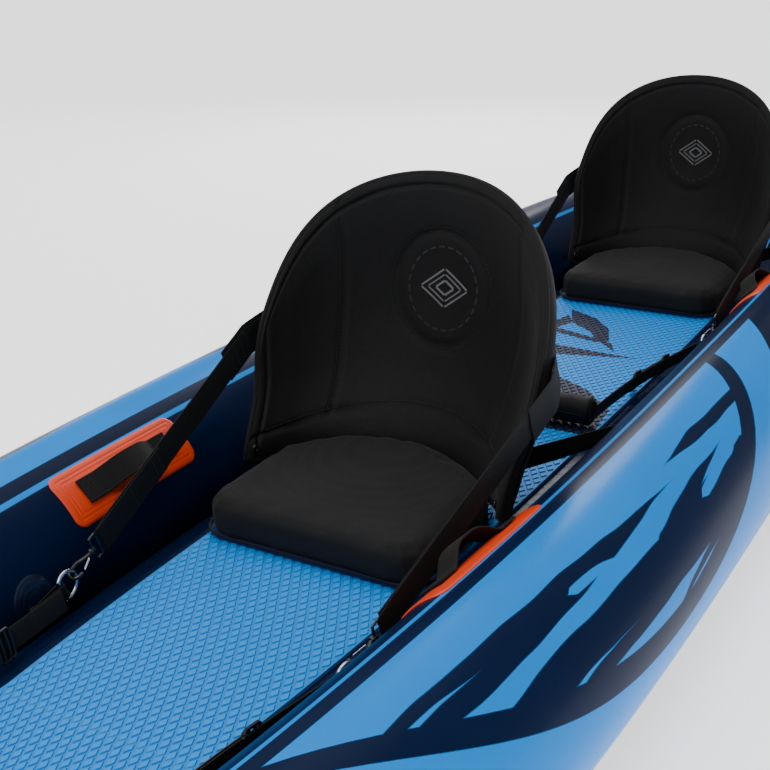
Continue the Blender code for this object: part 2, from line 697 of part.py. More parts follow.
def build_ring_tab(name, front, side):
    """Webbing folded round the D-ring's bar, with both tails against the tube."""
    middle, _, bar = ring_frame(front, side)
    wrap = RING_WIRE + GAP + WEB_T / 2
    tail_y = middle.y - TAB_REACH
    x, z, radius = tube_section(tail_y)
    angle = math.asin((middle.z - TAB_DROP - z) / radius)
    root = on_tube(side, tail_y, angle, GAP + WEB_T / 2)
    tail = on_tube(side, tail_y - TAB_TAIL, angle, GAP + WEB_T / 2)
    toward = (middle - root).normalized()
    away = bar.cross(toward).normalized()
    if away.x * side > 0:
        away.negate()
    layer = away * (WEB_T + GAP)
    points = [tail, root]
    for degrees in range(-90, 91, 30):
        turn = math.radians(degrees)
        points.append(middle + wrap * (toward * math.cos(turn) + away * math.sin(turn)))
    points += [root + layer, tail + layer]
    add_node(f"{name}_ring_tab", webbing(points, [bar] * len(points), TAB_W), BLACK, 0.8)


def build_rear_strap(name, front):
    """One band round the back of the backrest, tied to both tubes behind the seat."""
    half = []
    across = []
    clear = SHELL_T + REAR_STRAP_CLEAR
    for turn in REAR_STRAP_TURNS:
        half.append(shell_point(front, turn, REAR_STRAP_UP, clear))
        across.append(shell_point(front, turn, REAR_STRAP_UP + REAR_STRAP_W / 2, clear)
                      - shell_point(front, turn, REAR_STRAP_UP - REAR_STRAP_W / 2, clear))
    anchor_y = front + REAR_ANCHOR_BACK
    height = PAD_TOP + REAR_ANCHOR_UP
    for y in [anchor_y + step for step in REAR_STRAP_FEET]:
        _, z, radius = tube_section(y)
        angle = math.asin((height - z) / radius)
        half.append(on_tube(1, y, angle, DECK_LIFT + WEB_T / 2))
        across.append(on_tube(1, y, angle + 0.1) - on_tube(1, y, angle - 0.1))
    points = [Vector((-point.x, point.y, point.z)) for point in reversed(half[1:])] + half
    sides = [Vector((-side.x, side.y, side.z)) for side in reversed(across[1:])] + across
    add_node(f"{name}_rear_strap", webbing(points, sides, REAR_STRAP_W), BLACK, 0.8)


def build_foot_rest(name, front):
    """Foam roll across the floor and the two adjustable bands that hold it to the D-rings."""
    y = front + FOOT_BACK - SEAT_PITCH
    z = PAD_TOP + rocker(y) + ROLL_R + 4 * GAP
    centre = Vector((0, y, z))
    frame = Matrix.Translation(centre) @ Matrix.Rotation(math.pi / 2, 4, "Y")
    roll = disc(ROLL_R, -ROLL_HALF_LENGTH, ROLL_HALF_LENGTH, frame, bevel=ROLL_BEVEL)
    add_node(f"{name}_foot_roll", roll, BLACK, 0.85, origin=centre)
    for word, side in SIDES:
        middle, _, _ = ring_frame(front, side)
        inboard, aft, up = FOOT_STRAP_START
        start = middle + Vector((-side * inboard, aft, up))
        end = Vector((side * (ROLL_HALF_LENGTH + FOOT_STRAP_END), y, z))
        points = []
        for share in spread(0, 1, 8):
            point = start.lerp(end, share)
            point.x -= side * FOOT_STRAP_SAG * math.sin(math.pi * share)
            points.append(point)
        across = [Vector((side * 0.25, 0, 1))] * len(points)
        add_node(f"{name}_{word}_foot_strap", webbing(points, across, FOOT_STRAP_W), BLACK, 0.8)


# Main ---------------------------------------------------------------------------------------------
def clear_scene():
    for item in list(bpy.data.objects):
        bpy.data.objects.remove(item, do_unlink=True)


def main():
    clear_scene()
    build_tubes()
    build_floor()
    for name, end in ENDS:
        build_end(name, end)
    for seat, index in SEATS:
        front = SEAT_FRONT + index * SEAT_PITCH
        build_cushion(seat, front)
        build_backrest(seat, front)
        for word, side in SIDES:
            name = f"{seat}_{word}"
            build_side_handle(name, side, front + HANDLE_BACK)
            build_front_strap(name, front, side)
            build_hook(name, front, side)
            build_ring(name, front, side)
            build_ring_tab(name, front, side)
        build_rear_strap(seat, front)
        build_foot_rest(seat, front)
    build_valves()
    build_fin_box()


main()
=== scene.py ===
"""Looks of the two-seat inflatable kayak: coated fabric, foam, webbing and fittings round its CAD frame.

Frame: metres, +Z up, bow towards -Y, port side +X, as the CAD model has it.
"""
import json
import math

import bmesh
import bpy
from mathutils import Matrix, Vector


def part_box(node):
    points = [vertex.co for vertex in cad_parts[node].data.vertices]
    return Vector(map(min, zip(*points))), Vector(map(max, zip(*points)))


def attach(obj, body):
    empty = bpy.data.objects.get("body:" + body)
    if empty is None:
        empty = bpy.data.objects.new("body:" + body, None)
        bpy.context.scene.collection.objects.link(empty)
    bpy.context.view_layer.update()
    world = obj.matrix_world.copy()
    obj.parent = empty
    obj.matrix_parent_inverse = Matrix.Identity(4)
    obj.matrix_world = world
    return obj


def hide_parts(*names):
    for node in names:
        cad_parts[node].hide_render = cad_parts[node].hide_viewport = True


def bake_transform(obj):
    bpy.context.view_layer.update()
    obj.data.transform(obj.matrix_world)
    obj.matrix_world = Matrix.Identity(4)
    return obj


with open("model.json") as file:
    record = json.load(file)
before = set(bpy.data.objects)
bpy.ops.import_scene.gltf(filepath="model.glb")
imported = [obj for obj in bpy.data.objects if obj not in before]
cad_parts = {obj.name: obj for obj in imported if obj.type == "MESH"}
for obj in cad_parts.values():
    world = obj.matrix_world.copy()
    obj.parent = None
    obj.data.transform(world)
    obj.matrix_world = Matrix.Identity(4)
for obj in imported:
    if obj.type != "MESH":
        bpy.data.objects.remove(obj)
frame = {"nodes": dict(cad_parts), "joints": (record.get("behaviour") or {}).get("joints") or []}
NODES = frame["nodes"]
JOINTS = {joint["name"]: joint for joint in frame["joints"]}
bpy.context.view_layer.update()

# Hull shape, from the CAD boxes and the formula that they were drawn with ---------------------------
TUBE_LOW, TUBE_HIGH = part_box("port_side_tube")
PAD_LOW, PAD_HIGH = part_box("deck_pad")
HALF_BEAM = TUBE_HIGH.x
TUBE_R = 0.1165
TIP_R = 0.050
TIP_HALF_BEAM = 0.110
TIP_ANGLE = math.radians(72)
TUBE_HALF_LENGTH = TUBE_HIGH.y - TIP_R * math.sin(TIP_ANGLE)
TUBE_BOTTOM = TUBE_LOW.z
PLAN_POWER = 3.146
TAPER_POWER = 5
ROCKER_START = 1.0
ROCKER_SPAN = 1.2
ROCKER_RISE = 0.160
ROCKER_POWER = 2.2
PAD_TOP = 0.1165
PAD_T = 0.006
PAD_ENDS_RISE = 0.0015
DIAMOND_HALF_X = 0.0073
DIAMOND_HALF_Y = 0.0115
DIAMOND_RISE = 0.0015
DIAMOND_FOOT = 0.74
DIAMOND_TOP = 0.62
DIAMOND = ((-1, 0), (0, -1), (1, 0), (0, 1))
PAD_HALF_LENGTH = PAD_HIGH.y
PAD_HALF_WIDTH = PAD_HIGH.x
SEATS = ("front", "rear")
SIDES = (("port", 1), ("starboard", -1))
ENDS = (("bow", -1), ("stern", 1))
WEB_T = 0.0022
SKIN_GAP = 0.0003

# Colours --------------------------------------------------------------------------------------------
SKY = (0.0, 0.280, 0.880)
NAVY = (0.0035, 0.0100, 0.0380)
PAD_SKY = (0.0, 0.265, 0.760)
PAD_NAVY = (0.010, 0.015, 0.048)
ORANGE = (0.960, 0.055, 0.0)
BLACK = (0.0040, 0.0040, 0.0042)
CHARCOAL = (0.0105, 0.0105, 0.0106)


# Artwork: places along the hull (u) and round a tube from its inner side (v = angle times radius) -----
STRIPE_V = 1.103 * TUBE_R
STRIPE_W = 0.0085
BAND_V = 1.336 * TUBE_R
SEAM_V = 3.55 * TUBE_R
SEAM_W = 0.045
KEEL_V = 3.75 * TUBE_R
SWEEP_U = -0.560
SWEEP_V = -0.500
SWEEP_R = 0.863
SWEEP_W = 0.027
SWEEP_OPEN_V = 0.150
SWEEP_FROM = (-1.30, 0.05)
BOW_NAVY_U = -1.42
STERN_NAVY_U = -0.15
STERN_NAVY_V = 0.300
SLANT_AT = (0.283, 0.108)
SLANT_RATE = 0.52
SWAY = 0.016
SWAY_SCALE = (7.0, 22.0)
PRINT_EDGE = 0.0010
THREAD_PITCH = 0.0011
# brush strokes and the light slots in them: start, end, width and the shares that the ends narrow over
STROKES = (
    ((-0.020, 0.224), (-0.425, 0.216), 0.019, (0.35, 0.35)),
    ((-0.395, 0.236), (-1.380, 0.222), 0.036, (0.40, 0.45)),
    ((-0.255, 0.245), (-0.560, 0.272), 0.018, (0.55, 0.10)),
    ((-0.180, 0.290), (-1.400, 0.296), 0.054, (0.04, 0.50)),
    ((-0.330, 0.310), (-0.640, 0.344), 0.012, (0.10, 0.70)),
    ((-0.380, 0.324), (-0.560, 0.349), 0.010, (0.10, 0.80)),
    ((-0.420, 0.336), (-0.820, 0.360), 0.014, (0.10, 0.80)),
    ((-0.780, 0.348), (-1.320, 0.340), 0.016, (0.50, 0.70)),
)
SLOTS = (
    ((-0.590, 0.248), (-0.725, 0.236), 0.010, (0.60, 0.12)),
    ((-0.230, 0.258), (-0.415, 0.276), 0.014, (0.30, 0.12)),
    ((-0.860, 0.228), (-1.120, 0.222), 0.007, (0.50, 0.50)),
    ((-0.620, 0.306), (-1.050, 0.302), 0.008, (0.70, 0.40)),
)
# convex navy shapes printed on the pad between the seats, corners in turn
WEDGES = (
    ((-0.104, 0.468), (-0.074, 0.392), (-0.020, 0.352), (0.004, 0.384), (-0.040, 0.434)),
    ((-0.096, 0.432), (-0.112, 0.352), (-0.086, 0.350), (-0.072, 0.392)),
    ((-0.161, 0.372), (-0.161, 0.344), (0.010, 0.300), (0.014, 0.318)),
    ((-0.020, 0.352), (0.014, 0.300), (0.030, 0.318), (0.004, 0.384)),
    ((0.004, 0.362), (0.010, 0.352), (0.108, 0.252), (0.020, 0.330)),
    ((0.000, 0.330), (0.010, 0.314), (0.060, 0.262), (0.040, 0.304)),
    ((-0.060, 0.228), (-0.070, 0.196), (0.108, 0.250), (0.060, 0.250)),
    ((-0.161, 0.262), (-0.161, 0.216), (-0.040, 0.228), (0.070, 0.250)),
    ((-0.161, 0.180), (-0.161, -0.110), (0.161, -0.110), (0.150, 0.000), (0.084, 0.070), (-0.060, 0.150)),
)
# light chips left in them
CHIPS = (
    ((0.058, 0.016), (0.104, 0.004), (0.108, 0.020), (0.064, 0.034)),
    ((0.092, -0.062), (0.136, -0.076), (0.142, -0.052), (0.100, -0.040)),
    ((0.012, -0.046), (0.046, -0.058), (0.050, -0.050), (0.018, -0.036)),
    ((-0.120, 0.060), (-0.060, 0.030), (-0.052, 0.042), (-0.112, 0.070)),
)


# Node helper ----------------------------------------------------------------------------------------
class Nodes:
    """Short calls for building one material's nodes."""

    def __init__(self, name):
        self.material = bpy.data.materials.new(name)
        self.material.use_nodes = True
        self.tree = self.material.node_tree
        self.shader = self.tree.nodes["Principled BSDF"]

    def add(self, kind, **settings):
        node = self.tree.nodes.new(kind)
        for key, value in settings.items():
            setattr(node, key, value)
        return node

    def put(self, socket, value):
        if isinstance(value, bpy.types.NodeSocket):
            self.tree.links.new(value, socket)
        elif value is not None:
            socket.default_value = value

    def math(self, operation, a, b=None, clamp=False):
        node = self.add("ShaderNodeMath", operation=operation, use_clamp=clamp)
        self.put(node.inputs[0], a)
        self.put(node.inputs[1], b)
        return node.outputs[0]

    def vector(self, operation, a, b=None):
        node = self.add("ShaderNodeVectorMath", operation=operation)
        self.put(node.inputs[0], a)
        self.put(node.inputs[1], b)
        return node.outputs[0]

    def mix(self, share, a, b):
        node = self.add("ShaderNodeMix", data_type="RGBA")
        self.put(node.inputs[0], share)
        for socket, value in ((node.inputs[6], a), (node.inputs[7], b)):
            self.put(socket, (*value, 1) if isinstance(value, tuple) and len(value) == 3 else value)
        return node.outputs[2]

    def ramp(self, value, low, high, out_low=0.0, out_high=1.0, smooth=True):
        node = self.add("ShaderNodeMapRange", interpolation_type="SMOOTHSTEP" if smooth else "LINEAR")
        for socket, item in zip(node.inputs, (value, low, high, out_low, out_high)):
            self.put(socket, item)
        return node.outputs[0]

    def noise(self, vector, scale, detail=3.0, roughness=0.5):
        node = self.add("ShaderNodeTexNoise")
        self.put(node.inputs["Vector"], vector)
        self.put(node.inputs["Scale"], scale)
        self.put(node.inputs["Detail"], detail)
        self.put(node.inputs["Roughness"], roughness)
        return node.outputs["Fac"]

    def place(self):
        """Place on the object in metres."""
        return self.add("ShaderNodeTexCoord").outputs["Object"]

    def skin(self):
        """Place on the surface in metres, from the mesh's own flat layout."""
        return self.add("ShaderNodeUVMap", uv_map="skin").outputs["UV"]

    def parts(self, vector):
        node = self.add("ShaderNodeSeparateXYZ")
        self.put(node.inputs[0], vector)
        return node.outputs

    def join(self, x, y, z=0.0):
        node = self.add("ShaderNodeCombineXYZ")
        for socket, value in zip(node.inputs, (x, y, z)):
            self.put(socket, value)
        return node.outputs[0]

    def wave(self, value, period):
        """Smooth rise and fall from 0 to 1 with that period."""
        turn = self.math("MULTIPLY", value, 2 * math.pi / period)
        node = self.add("ShaderNodeMath", operation="MULTIPLY_ADD")
        self.put(node.inputs[0], self.math("SINE", turn))
        node.inputs[1].default_value = 0.5
        node.inputs[2].default_value = 0.5
        return node.outputs[0]

    def bump(self, height, distance, strength=1.0, normal=None):
        node = self.add("ShaderNodeBump")
        self.put(node.inputs["Height"], height)
        node.inputs["Distance"].default_value = distance
        node.inputs["Strength"].default_value = strength
        self.put(node.inputs["Normal"], normal)
        return node.outputs[0]

    def finish(self, colour, roughness, normal=None, **constants):
        """Link colour, roughness and normal, and set the named constants on the shader's sockets."""
        if isinstance(colour, tuple):
            colour = (*colour, 1)
        self.put(self.shader.inputs["Base Color"], colour)
        self.put(self.shader.inputs["Roughness"], roughness)
        self.put(self.shader.inputs["Normal"], normal)
        for name, value in constants.items():
            self.shader.inputs[name.replace("_", " ")].default_value = value
        return self.material


# Materials ------------------------------------------------------------------------------------------
def union(nodes, masks):
    total = masks[0]
    for mask in masks[1:]:
        total = nodes.math("MAXIMUM", total, mask)
    return total


def stroke(nodes, u, v, start, end, width, tails):
    """Mask of one brush stroke; tails are the shares of its length over which its two ends narrow."""
    (u0, v0), (u1, v1) = start, end
    length = math.hypot(u1 - u0, v1 - v0)
    du, dv = (u1 - u0) / length, (v1 - v0) / length
    from_u = nodes.math("SUBTRACT", u, u0)
    from_v = nodes.math("SUBTRACT", v, v0)
    along_u = nodes.math("MULTIPLY", from_u, du / length)
    along_v = nodes.math("MULTIPLY", from_v, dv / length)
    along = nodes.math("ADD", along_u, along_v)
    across = nodes.math("ADD", nodes.math("MULTIPLY", from_u, -dv), nodes.math("MULTIPLY", from_v, du))
    room = nodes.math("MULTIPLY", nodes.ramp(along, 0.0, tails[0]), nodes.ramp(along, 1.0, 1.0 - tails[1]))
    room = nodes.math("SUBTRACT", nodes.math("MULTIPLY", room, width / 2), nodes.math("ABSOLUTE", across))
    return nodes.ramp(room, 0.0, PRINT_EDGE, smooth=False)


def tube_skin():
    """Gloss coated fabric of the side tubes: light blue and navy, with a thin stripe and brush strokes."""
    n = Nodes("tube_skin")
    u, v, _ = n.parts(n.skin())

    def step(value, at):
        return n.ramp(value, at - PRINT_EDGE / 2, at + PRINT_EDGE / 2, smooth=False)

    stripe = n.math("SUBTRACT", step(v, STRIPE_V - STRIPE_W / 2), step(v, STRIPE_V + STRIPE_W / 2))
    inner = n.math("SUBTRACT", 1.0, step(v, BAND_V))
    # stern half: navy over the top, light blue below a slanting edge
    slant_u = n.math("MULTIPLY", n.math("SUBTRACT", u, SLANT_AT[0]), SLANT_RATE)
    slant = n.math("ADD", n.math("SUBTRACT", v, SLANT_AT[1]), slant_u)
    bow_side = n.math("SUBTRACT", 1.0, step(u, BOW_NAVY_U))
    upper = n.math("SUBTRACT", 1.0, step(v, STERN_NAVY_V))
    stern = n.math("MULTIPLY", n.math("MULTIPLY", step(slant, 0.0), step(u, STERN_NAVY_U)), upper)
    # one long sweep across the side, which opens out towards the top
    opened = n.math("MAXIMUM", n.math("SUBTRACT", SWEEP_OPEN_V, v), 0.0)
    far = n.add("ShaderNodeVectorMath", operation="LENGTH")
    n.put(far.inputs[0], n.vector("SUBTRACT", n.join(u, v), n.join(SWEEP_U, SWEEP_V)))
    distance = n.math("SUBTRACT", far.outputs["Value"], opened)
    sweep = n.math("SUBTRACT", step(distance, SWEEP_R - SWEEP_W), step(distance, SWEEP_R))
    sweep = n.math("MULTIPLY", sweep, n.math("MULTIPLY", step(u, SWEEP_FROM[0]), step(v, SWEEP_FROM[1])))
    # brush strokes in the field inside the sweep, with light slots cut in them
    wide = n.join(n.math("MULTIPLY", u, SWAY_SCALE[0]), n.math("MULTIPLY", v, SWAY_SCALE[1]))
    sway = n.math("SUBTRACT", n.noise(wide, 1.0, 1.5), 0.5)
    drifted = n.math("ADD", v, n.math("MULTIPLY", sway, SWAY))
    inside = n.math("SUBTRACT", 1.0, step(distance, SWEEP_R - SWEEP_W / 2))
    strokes = union(n, [stroke(n, u, drifted, *row) for row in STROKES])
    slots = union(n, [stroke(n, u, drifted, *row) for row in SLOTS])
    strokes = n.math("MULTIPLY", n.math("MULTIPLY", strokes, n.math("SUBTRACT", 1.0, slots)), inside)
    keel = step(v, KEEL_V)
    navy = union(n, [inner, stern, sweep, strokes, keel, bow_side])
    navy = n.math("MULTIPLY", navy, n.math("SUBTRACT", 1.0, stripe))
    cloudy = n.noise(n.place(), 3.0, 4.0)
    sky = n.mix(n.ramp(cloudy, 0.3, 0.7), SKY, tuple(c * 0.90 for c in SKY))
    dark = n.mix(n.ramp(cloudy, 0.3, 0.7), NAVY, tuple(c * 1.35 for c in NAVY))
    colour = n.mix(navy, sky, dark)
    seam = n.math("ABSOLUTE", n.math("SUBTRACT", v, SEAM_V))
    tape = n.ramp(seam, SEAM_W / 2, SEAM_W / 2 - 0.0015)
    threads = n.math("MULTIPLY", n.wave(u, THREAD_PITCH), n.wave(v, THREAD_PITCH))
    scuff = n.noise(n.place(), 60.0, 2.0, 0.5)
    height = n.math("ADD", n.math("MULTIPLY", tape, 0.00045), n.math("MULTIPLY", threads, 0.0000012))
    drawn = n.math("MULTIPLY", n.noise(n.place(), 3.5, 1.5), 0.00020)
    normal = n.bump(n.math("ADD", height, drawn), 1.0)
    rough = n.ramp(scuff, 0.35, 0.75, 0.29, 0.32)
    return n.finish(colour, rough, normal, Specular_IOR_Level=0.045)


def coated_fabric(name, colour, shine=0.30):
    """Plain gloss coated fabric with a faint print of its threads."""
    n = Nodes(name)
    cloudy = n.noise(n.place(), 4.0, 4.0)
    x, y, _ = n.parts(n.place())
    threads = n.math("MULTIPLY", n.wave(x, 0.0016), n.wave(y, 0.0016))
    drawn = n.math("MULTIPLY", n.noise(n.place(), 9.0, 2.0), 0.0008)
    normal = n.bump(n.math("ADD", drawn, n.math("MULTIPLY", threads, 0.000015)), 1.0)
    shade = n.mix(n.ramp(cloudy, 0.3, 0.7), colour, tuple(c * 1.3 for c in colour))
    rough = n.ramp(n.noise(n.place(), 55.0, 5.0, 0.65), 0.35, 0.75, shine - 0.06, shine + 0.10)
    return n.finish(shade, rough, normal, Specular_IOR_Level=0.06)


def pad_foam():
    """Embossed foam: light blue with navy wedges between the seats, painted lighter on the raised diamonds
    as a painted highlight and darker in the valleys as painted shade.
    """
    n = Nodes("pad_foam")
    x, y, _ = n.parts(n.place())

    def shard(corners):
        inside = 1.0
        for (x0, y0), (x1, y1) in zip(corners, corners[1:] + corners[:1]):
            length = math.hypot(x1 - x0, y1 - y0)
            a = n.math("MULTIPLY", n.math("SUBTRACT", x, x0), -(y1 - y0) / length)
            b = n.math("MULTIPLY", n.math("SUBTRACT", y, y0), (x1 - x0) / length)
            side = n.ramp(n.math("ADD", a, b), -0.0006, 0.0006, smooth=False)
            inside = n.math("MULTIPLY", side, inside)
        return inside

    chips = union(n, [shard(corners) for corners in CHIPS])
    navy = union(n, [shard(corners) for corners in WEDGES])
    navy = n.math("MULTIPLY", navy, n.math("SUBTRACT", 1.0, chips))
    cut = n.noise(n.place(), 420.0, 2.0)
    raised = n.add("ShaderNodeAttribute", attribute_name="raised").outputs["Fac"]
    # painted light: each colour comes as a lit and a shaded copy, lighter on the raised diamond tops
    # (painted highlight) and darker in the valleys (painted shade)
    light = n.mix(raised, tuple(c * 0.90 for c in PAD_SKY), tuple(c * 1.18 for c in PAD_SKY))
    dark = n.mix(raised, tuple(c * 0.75 for c in PAD_NAVY), tuple(c * 1.5 for c in PAD_NAVY))
    colour = n.mix(navy, light, dark)
    normal = n.bump(n.math("MULTIPLY", cut, 0.00012), 1.0)
    rough = n.ramp(cut, 0.3, 0.7, 0.52, 0.70)
    return n.finish(colour, rough, normal, Specular_IOR_Level=0.35)


def patch_rubber():
    """Satin moulded patch."""
    n = Nodes("patch_rubber")
    cloudy = n.noise(n.place(), 18.0, 4.0)
    shade = n.mix(n.ramp(cloudy, 0.3, 0.7), ORANGE, tuple(c * 0.86 for c in ORANGE))
    fine = n.noise(n.place(), 900.0, 2.0)
    normal = n.bump(n.math("MULTIPLY", fine, 0.00006), 1.0)
    return n.finish(shade, n.ramp(fine, 0.3, 0.7, 0.36, 0.48), normal, Coat_Weight=0.10, Coat_Roughness=0.3)


def woven(name, colour, period=0.0011, depth=0.00022, rib_highlight=1.6):
    """Webbing: crossing ribs along and across the band, from its own flat layout in metres."""
    n = Nodes(name)
    u, v, _ = n.parts(n.skin())
    diagonal = n.math("ADD", u, v)
    opposite = n.math("SUBTRACT", u, v)
    rib = n.math("MAXIMUM", n.wave(diagonal, period * 2.2), n.wave(opposite, period * 2.2))
    weft = n.math("MULTIPLY", n.wave(u, period), rib)
    fuzz = n.noise(n.place(), 700.0, 3.0, 0.7)
    height = n.math("ADD", n.math("MULTIPLY", weft, depth), n.math("MULTIPLY", fuzz, depth * 0.35))
    normal = n.bump(height, 1.0)
    # painted light: the raised ribs are painted lighter by the last factor, a painted highlight, and the
    # low weave between them darker, painted shade
    shade = n.mix(weft, tuple(c * 0.7 for c in colour), tuple(c * rib_highlight for c in colour))
    return n.finish(shade, n.ramp(fuzz, 0.3, 0.7, 0.62, 0.82), normal,
                    Sheen_Weight=0.05, Sheen_Roughness=0.5, Specular_IOR_Level=0.28)


def padded_fabric(name, colour, period=0.0016, rough=0.78):
    """Woven cover over foam, its threads printed along three directions so that no side is bare."""
    n = Nodes(name)
    x, y, z = n.parts(n.place())
    a = n.math("MULTIPLY", n.wave(n.math("ADD", x, z), period), n.wave(n.math("ADD", y, z), period))
    b = n.math("MULTIPLY", n.wave(n.math("SUBTRACT", x, y), period), n.wave(z, period))
    thread = n.math("MAXIMUM", a, b)
    cloudy = n.noise(n.place(), 12.0, 5.0, 0.6)
    lint = n.noise(n.place(), 600.0, 4.0, 0.7)
    # painted light: the thread tops are painted lighter as a painted highlight and the gaps between them
    # darker as painted shade, on one cloth
    shade = n.mix(thread, tuple(c * 0.82 for c in colour), tuple(c * 1.22 for c in colour))
    shade = n.mix(n.ramp(cloudy, 0.3, 0.75, 0.0, 0.35), shade, tuple(c * 1.6 for c in colour))
    height = n.math("ADD", n.math("MULTIPLY", thread, 0.00016), n.math("MULTIPLY", lint, 0.00010))
    ripple = n.math("MULTIPLY", n.noise(n.place(), 26.0, 3.0), 0.0010)
    normal = n.bump(n.math("ADD", height, ripple), 1.0)
    return n.finish(shade, n.ramp(lint, 0.3, 0.7, rough - 0.08, rough + 0.08), normal,
                    Sheen_Weight=0.05, Sheen_Roughness=0.45, Specular_IOR_Level=0.26)


def moulded(name, colour, rough=0.45, metal=0.0, grain=0.00008, coat=0.0):
    """Moulded or drawn part: fine grain, small scratches and lighter wear."""
    n = Nodes(name)
    fine = n.noise(n.place(), 1100.0, 3.0)
    wear = n.noise(n.place(), 90.0, 5.0, 0.7)
    shade = n.mix(n.ramp(wear, 0.45, 0.8, 0.0, 0.5), colour, tuple(min(c * 1.7 + 0.004, 1) for c in colour))
    normal = n.bump(n.math("MULTIPLY", fine, grain), 1.0)
    return n.finish(shade, n.ramp(wear, 0.3, 0.8, rough - 0.06, rough + 0.10), normal,
                    Metallic=metal, Coat_Weight=coat)


# Mesh helpers ---------------------------------------------------------------------------------------
def spread(start, end, count):
    """Evenly spaced values from start to end."""
    return [start + (end - start) * index / (count - 1) for index in range(count)]


def link(name, mesh_data, material, smooth=35):
    """Make one object of a bmesh, given in world space."""
    bmesh.ops.recalc_face_normals(mesh_data, faces=mesh_data.faces)
    mesh = bpy.data.meshes.new(name)
    mesh_data.to_mesh(mesh)
    mesh_data.free()
    mesh.shade_smooth()
    mesh.set_sharp_from_angle(angle=math.radians(smooth))
    mesh.materials.append(material)
    item = bpy.data.objects.new(name, mesh)
    bpy.context.scene.collection.objects.link(item)
    return item


def subdivide(item, level):
    """Smooth subdivision, the same in the view and in the render."""
    modifier = item.modifiers.new("smooth", "SUBSURF")
    modifier.levels = level
    modifier.render_levels = level


def ready(item, body, slot, *nodes):
    """Make a piece ride on its body and stand for its CAD nodes; slot is not used."""
    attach(item, body)
    if nodes:
        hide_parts(*nodes)


def loft(rings, closed=False, skins=None):
    """Skin equal rings of points; skins gives the flat layout of each point, one longer round."""
    data = bmesh.new()
    rows = [[data.verts.new(point) for point in ring] for ring in rings]
    layer = data.loops.layers.uv.new("skin") if skins else None
    count = len(rings[0])
    total = len(rows) if closed else len(rows) - 1
    for index in range(total):
        after = (index + 1) % len(rows)
        for side in range(count):
            turn = (side + 1) % count
            near, far = rows[index], rows[after]
            face = data.faces.new((near[side], near[turn], far[turn], far[side]))
            if layer:
                places = ((index, side), (index, side + 1), (index + 1, side + 1), (index + 1, side))
                for loop, (row, column) in zip(face.loops, places):
                    loop[layer].uv = skins(row, column)
    if not closed:
        for row in (rows[0], rows[-1]):
            face = data.faces.new(row)
            if layer:
                for loop in face.loops:
                    loop[layer].uv = skins(0, 0)
    return data


def sheet(under, over, skins=None):
    """Close two equal grids of points into one thin body."""
    data = bmesh.new()
    grids = [[[data.verts.new(point) for point in row] for row in grid] for grid in (under, over)]
    layer = data.loops.layers.uv.new("skin") if skins else None
    rows = len(under)
    columns = len(under[0])

    def face(corners, places):
        made = data.faces.new(corners)
        if layer:
            for loop, place in zip(made.loops, places):
                loop[layer].uv = skins(*place)

    for row in range(rows - 1):
        for column in range(columns - 1):
            places = ((row, column), (row, column + 1), (row + 1, column + 1), (row + 1, column))
            for grid in grids:
                face([grid[r][c] for r, c in places], places)
    rim = [(0, column) for column in range(columns)]
    rim += [(row, columns - 1) for row in range(1, rows)]
    rim += [(rows - 1, column) for column in range(columns - 2, -1, -1)]
    rim += [(row, 0) for row in range(rows - 2, 0, -1)]
    low, high = grids
    for index, (r, c) in enumerate(rim):
        nr, nc = rim[(index + 1) % len(rim)]
        face((low[r][c], low[nr][nc], high[nr][nc], high[r][c]), ((r, c), (nr, nc), (nr, nc), (r, c)))
    return data


def tangents(points, closed=False):
    """Direction of a line at each of its points."""
    count = len(points)
    result = []
    for index in range(count):
        before = points[index - 1] if closed or index else points[0]
        after = points[(index + 1) % count] if closed or index < count - 1 else points[-1]
        result.append((after - before).normalized())
    return result


def smooth_path(points, per_span=6):
    """Smooth curve through a few points."""
    result = []
    for index in range(len(points) - 1):
        a = points[max(index - 1, 0)]
        b, c = points[index], points[index + 1]
        d = points[min(index + 2, len(points) - 1)]
        for step in range(per_span):
            t = step / per_span
            result.append(0.5 * (2 * b + (c - a) * t + (2 * a - 5 * b + 4 * c - d) * t * t
                                 + (3 * b - a - 3 * c + d) * t ** 3))
    return result + [points[-1]]


def round_turns(sides):
    """Angles of equal steps round a circle."""
    return [2 * math.pi * side / sides for side in range(sides)]


def rod(points, radius, sides=12, closed=False):
    """Sweep a round bar along points; radius may be a list."""
    along = tangents(points, closed)
    normal = along[0].orthogonal().normalized()
    rings = []
    for index, (point, direction) in enumerate(zip(points, along)):
        size = radius[index] if isinstance(radius, list) else radius
        normal = (normal - direction * normal.dot(direction)).normalized()
        binormal = direction.cross(normal)
        spokes = [normal * math.cos(turn) + binormal * math.sin(turn) for turn in round_turns(sides)]
        rings.append([point + size * spoke for spoke in spokes])
    return loft(rings, closed)


def band(points, across, width, thickness=WEB_T, ribs=0):
    """Sweep webbing along points, with rounded edges; across is its width direction, or a list."""
    count = len(points)
    sides = across if isinstance(across, list) else [across] * count
    widths = width if isinstance(width, list) else [width] * count
    half = thickness / 2
    top = [(share, 1 - 0.5 * (index % 2)) for index, share in enumerate(spread(0.90, -0.90, 2 * ribs + 3))]
    edge = [(1, -0.35), (1, 0.35), (0.985, 0.9)]
    profile = edge + top + [(-x, -y) for x, y in edge + top]
    rings = []
    lengths = [0.0]
    for before, after in zip(points, points[1:]):
        lengths.append(lengths[-1] + (after - before).length)
    for point, direction, side, wide in zip(points, tangents(points), sides, widths):
        side = (side - direction * side.dot(direction)).normalized()
        up = direction.cross(side).normalized()
        rings.append([point + side * (wide / 2 * a) + up * (half * b) for a, b in profile])
    loop = profile + profile[:1]

    def skins(row, column):
        return lengths[min(row, count - 1)], loop[min(column, len(profile))][0] * widths[0] / 2

    return loft(rings, skins=skins)


def turned(profile, place, sides=40):
    """Turn a closed outline of (radius, height) points about the local Z of place."""
    rings = []
    for turn in round_turns(sides):
        rings.append([place @ Vector((r * math.cos(turn), r * math.sin(turn), z)) for r, z in profile])
    return loft(rings, closed=True)


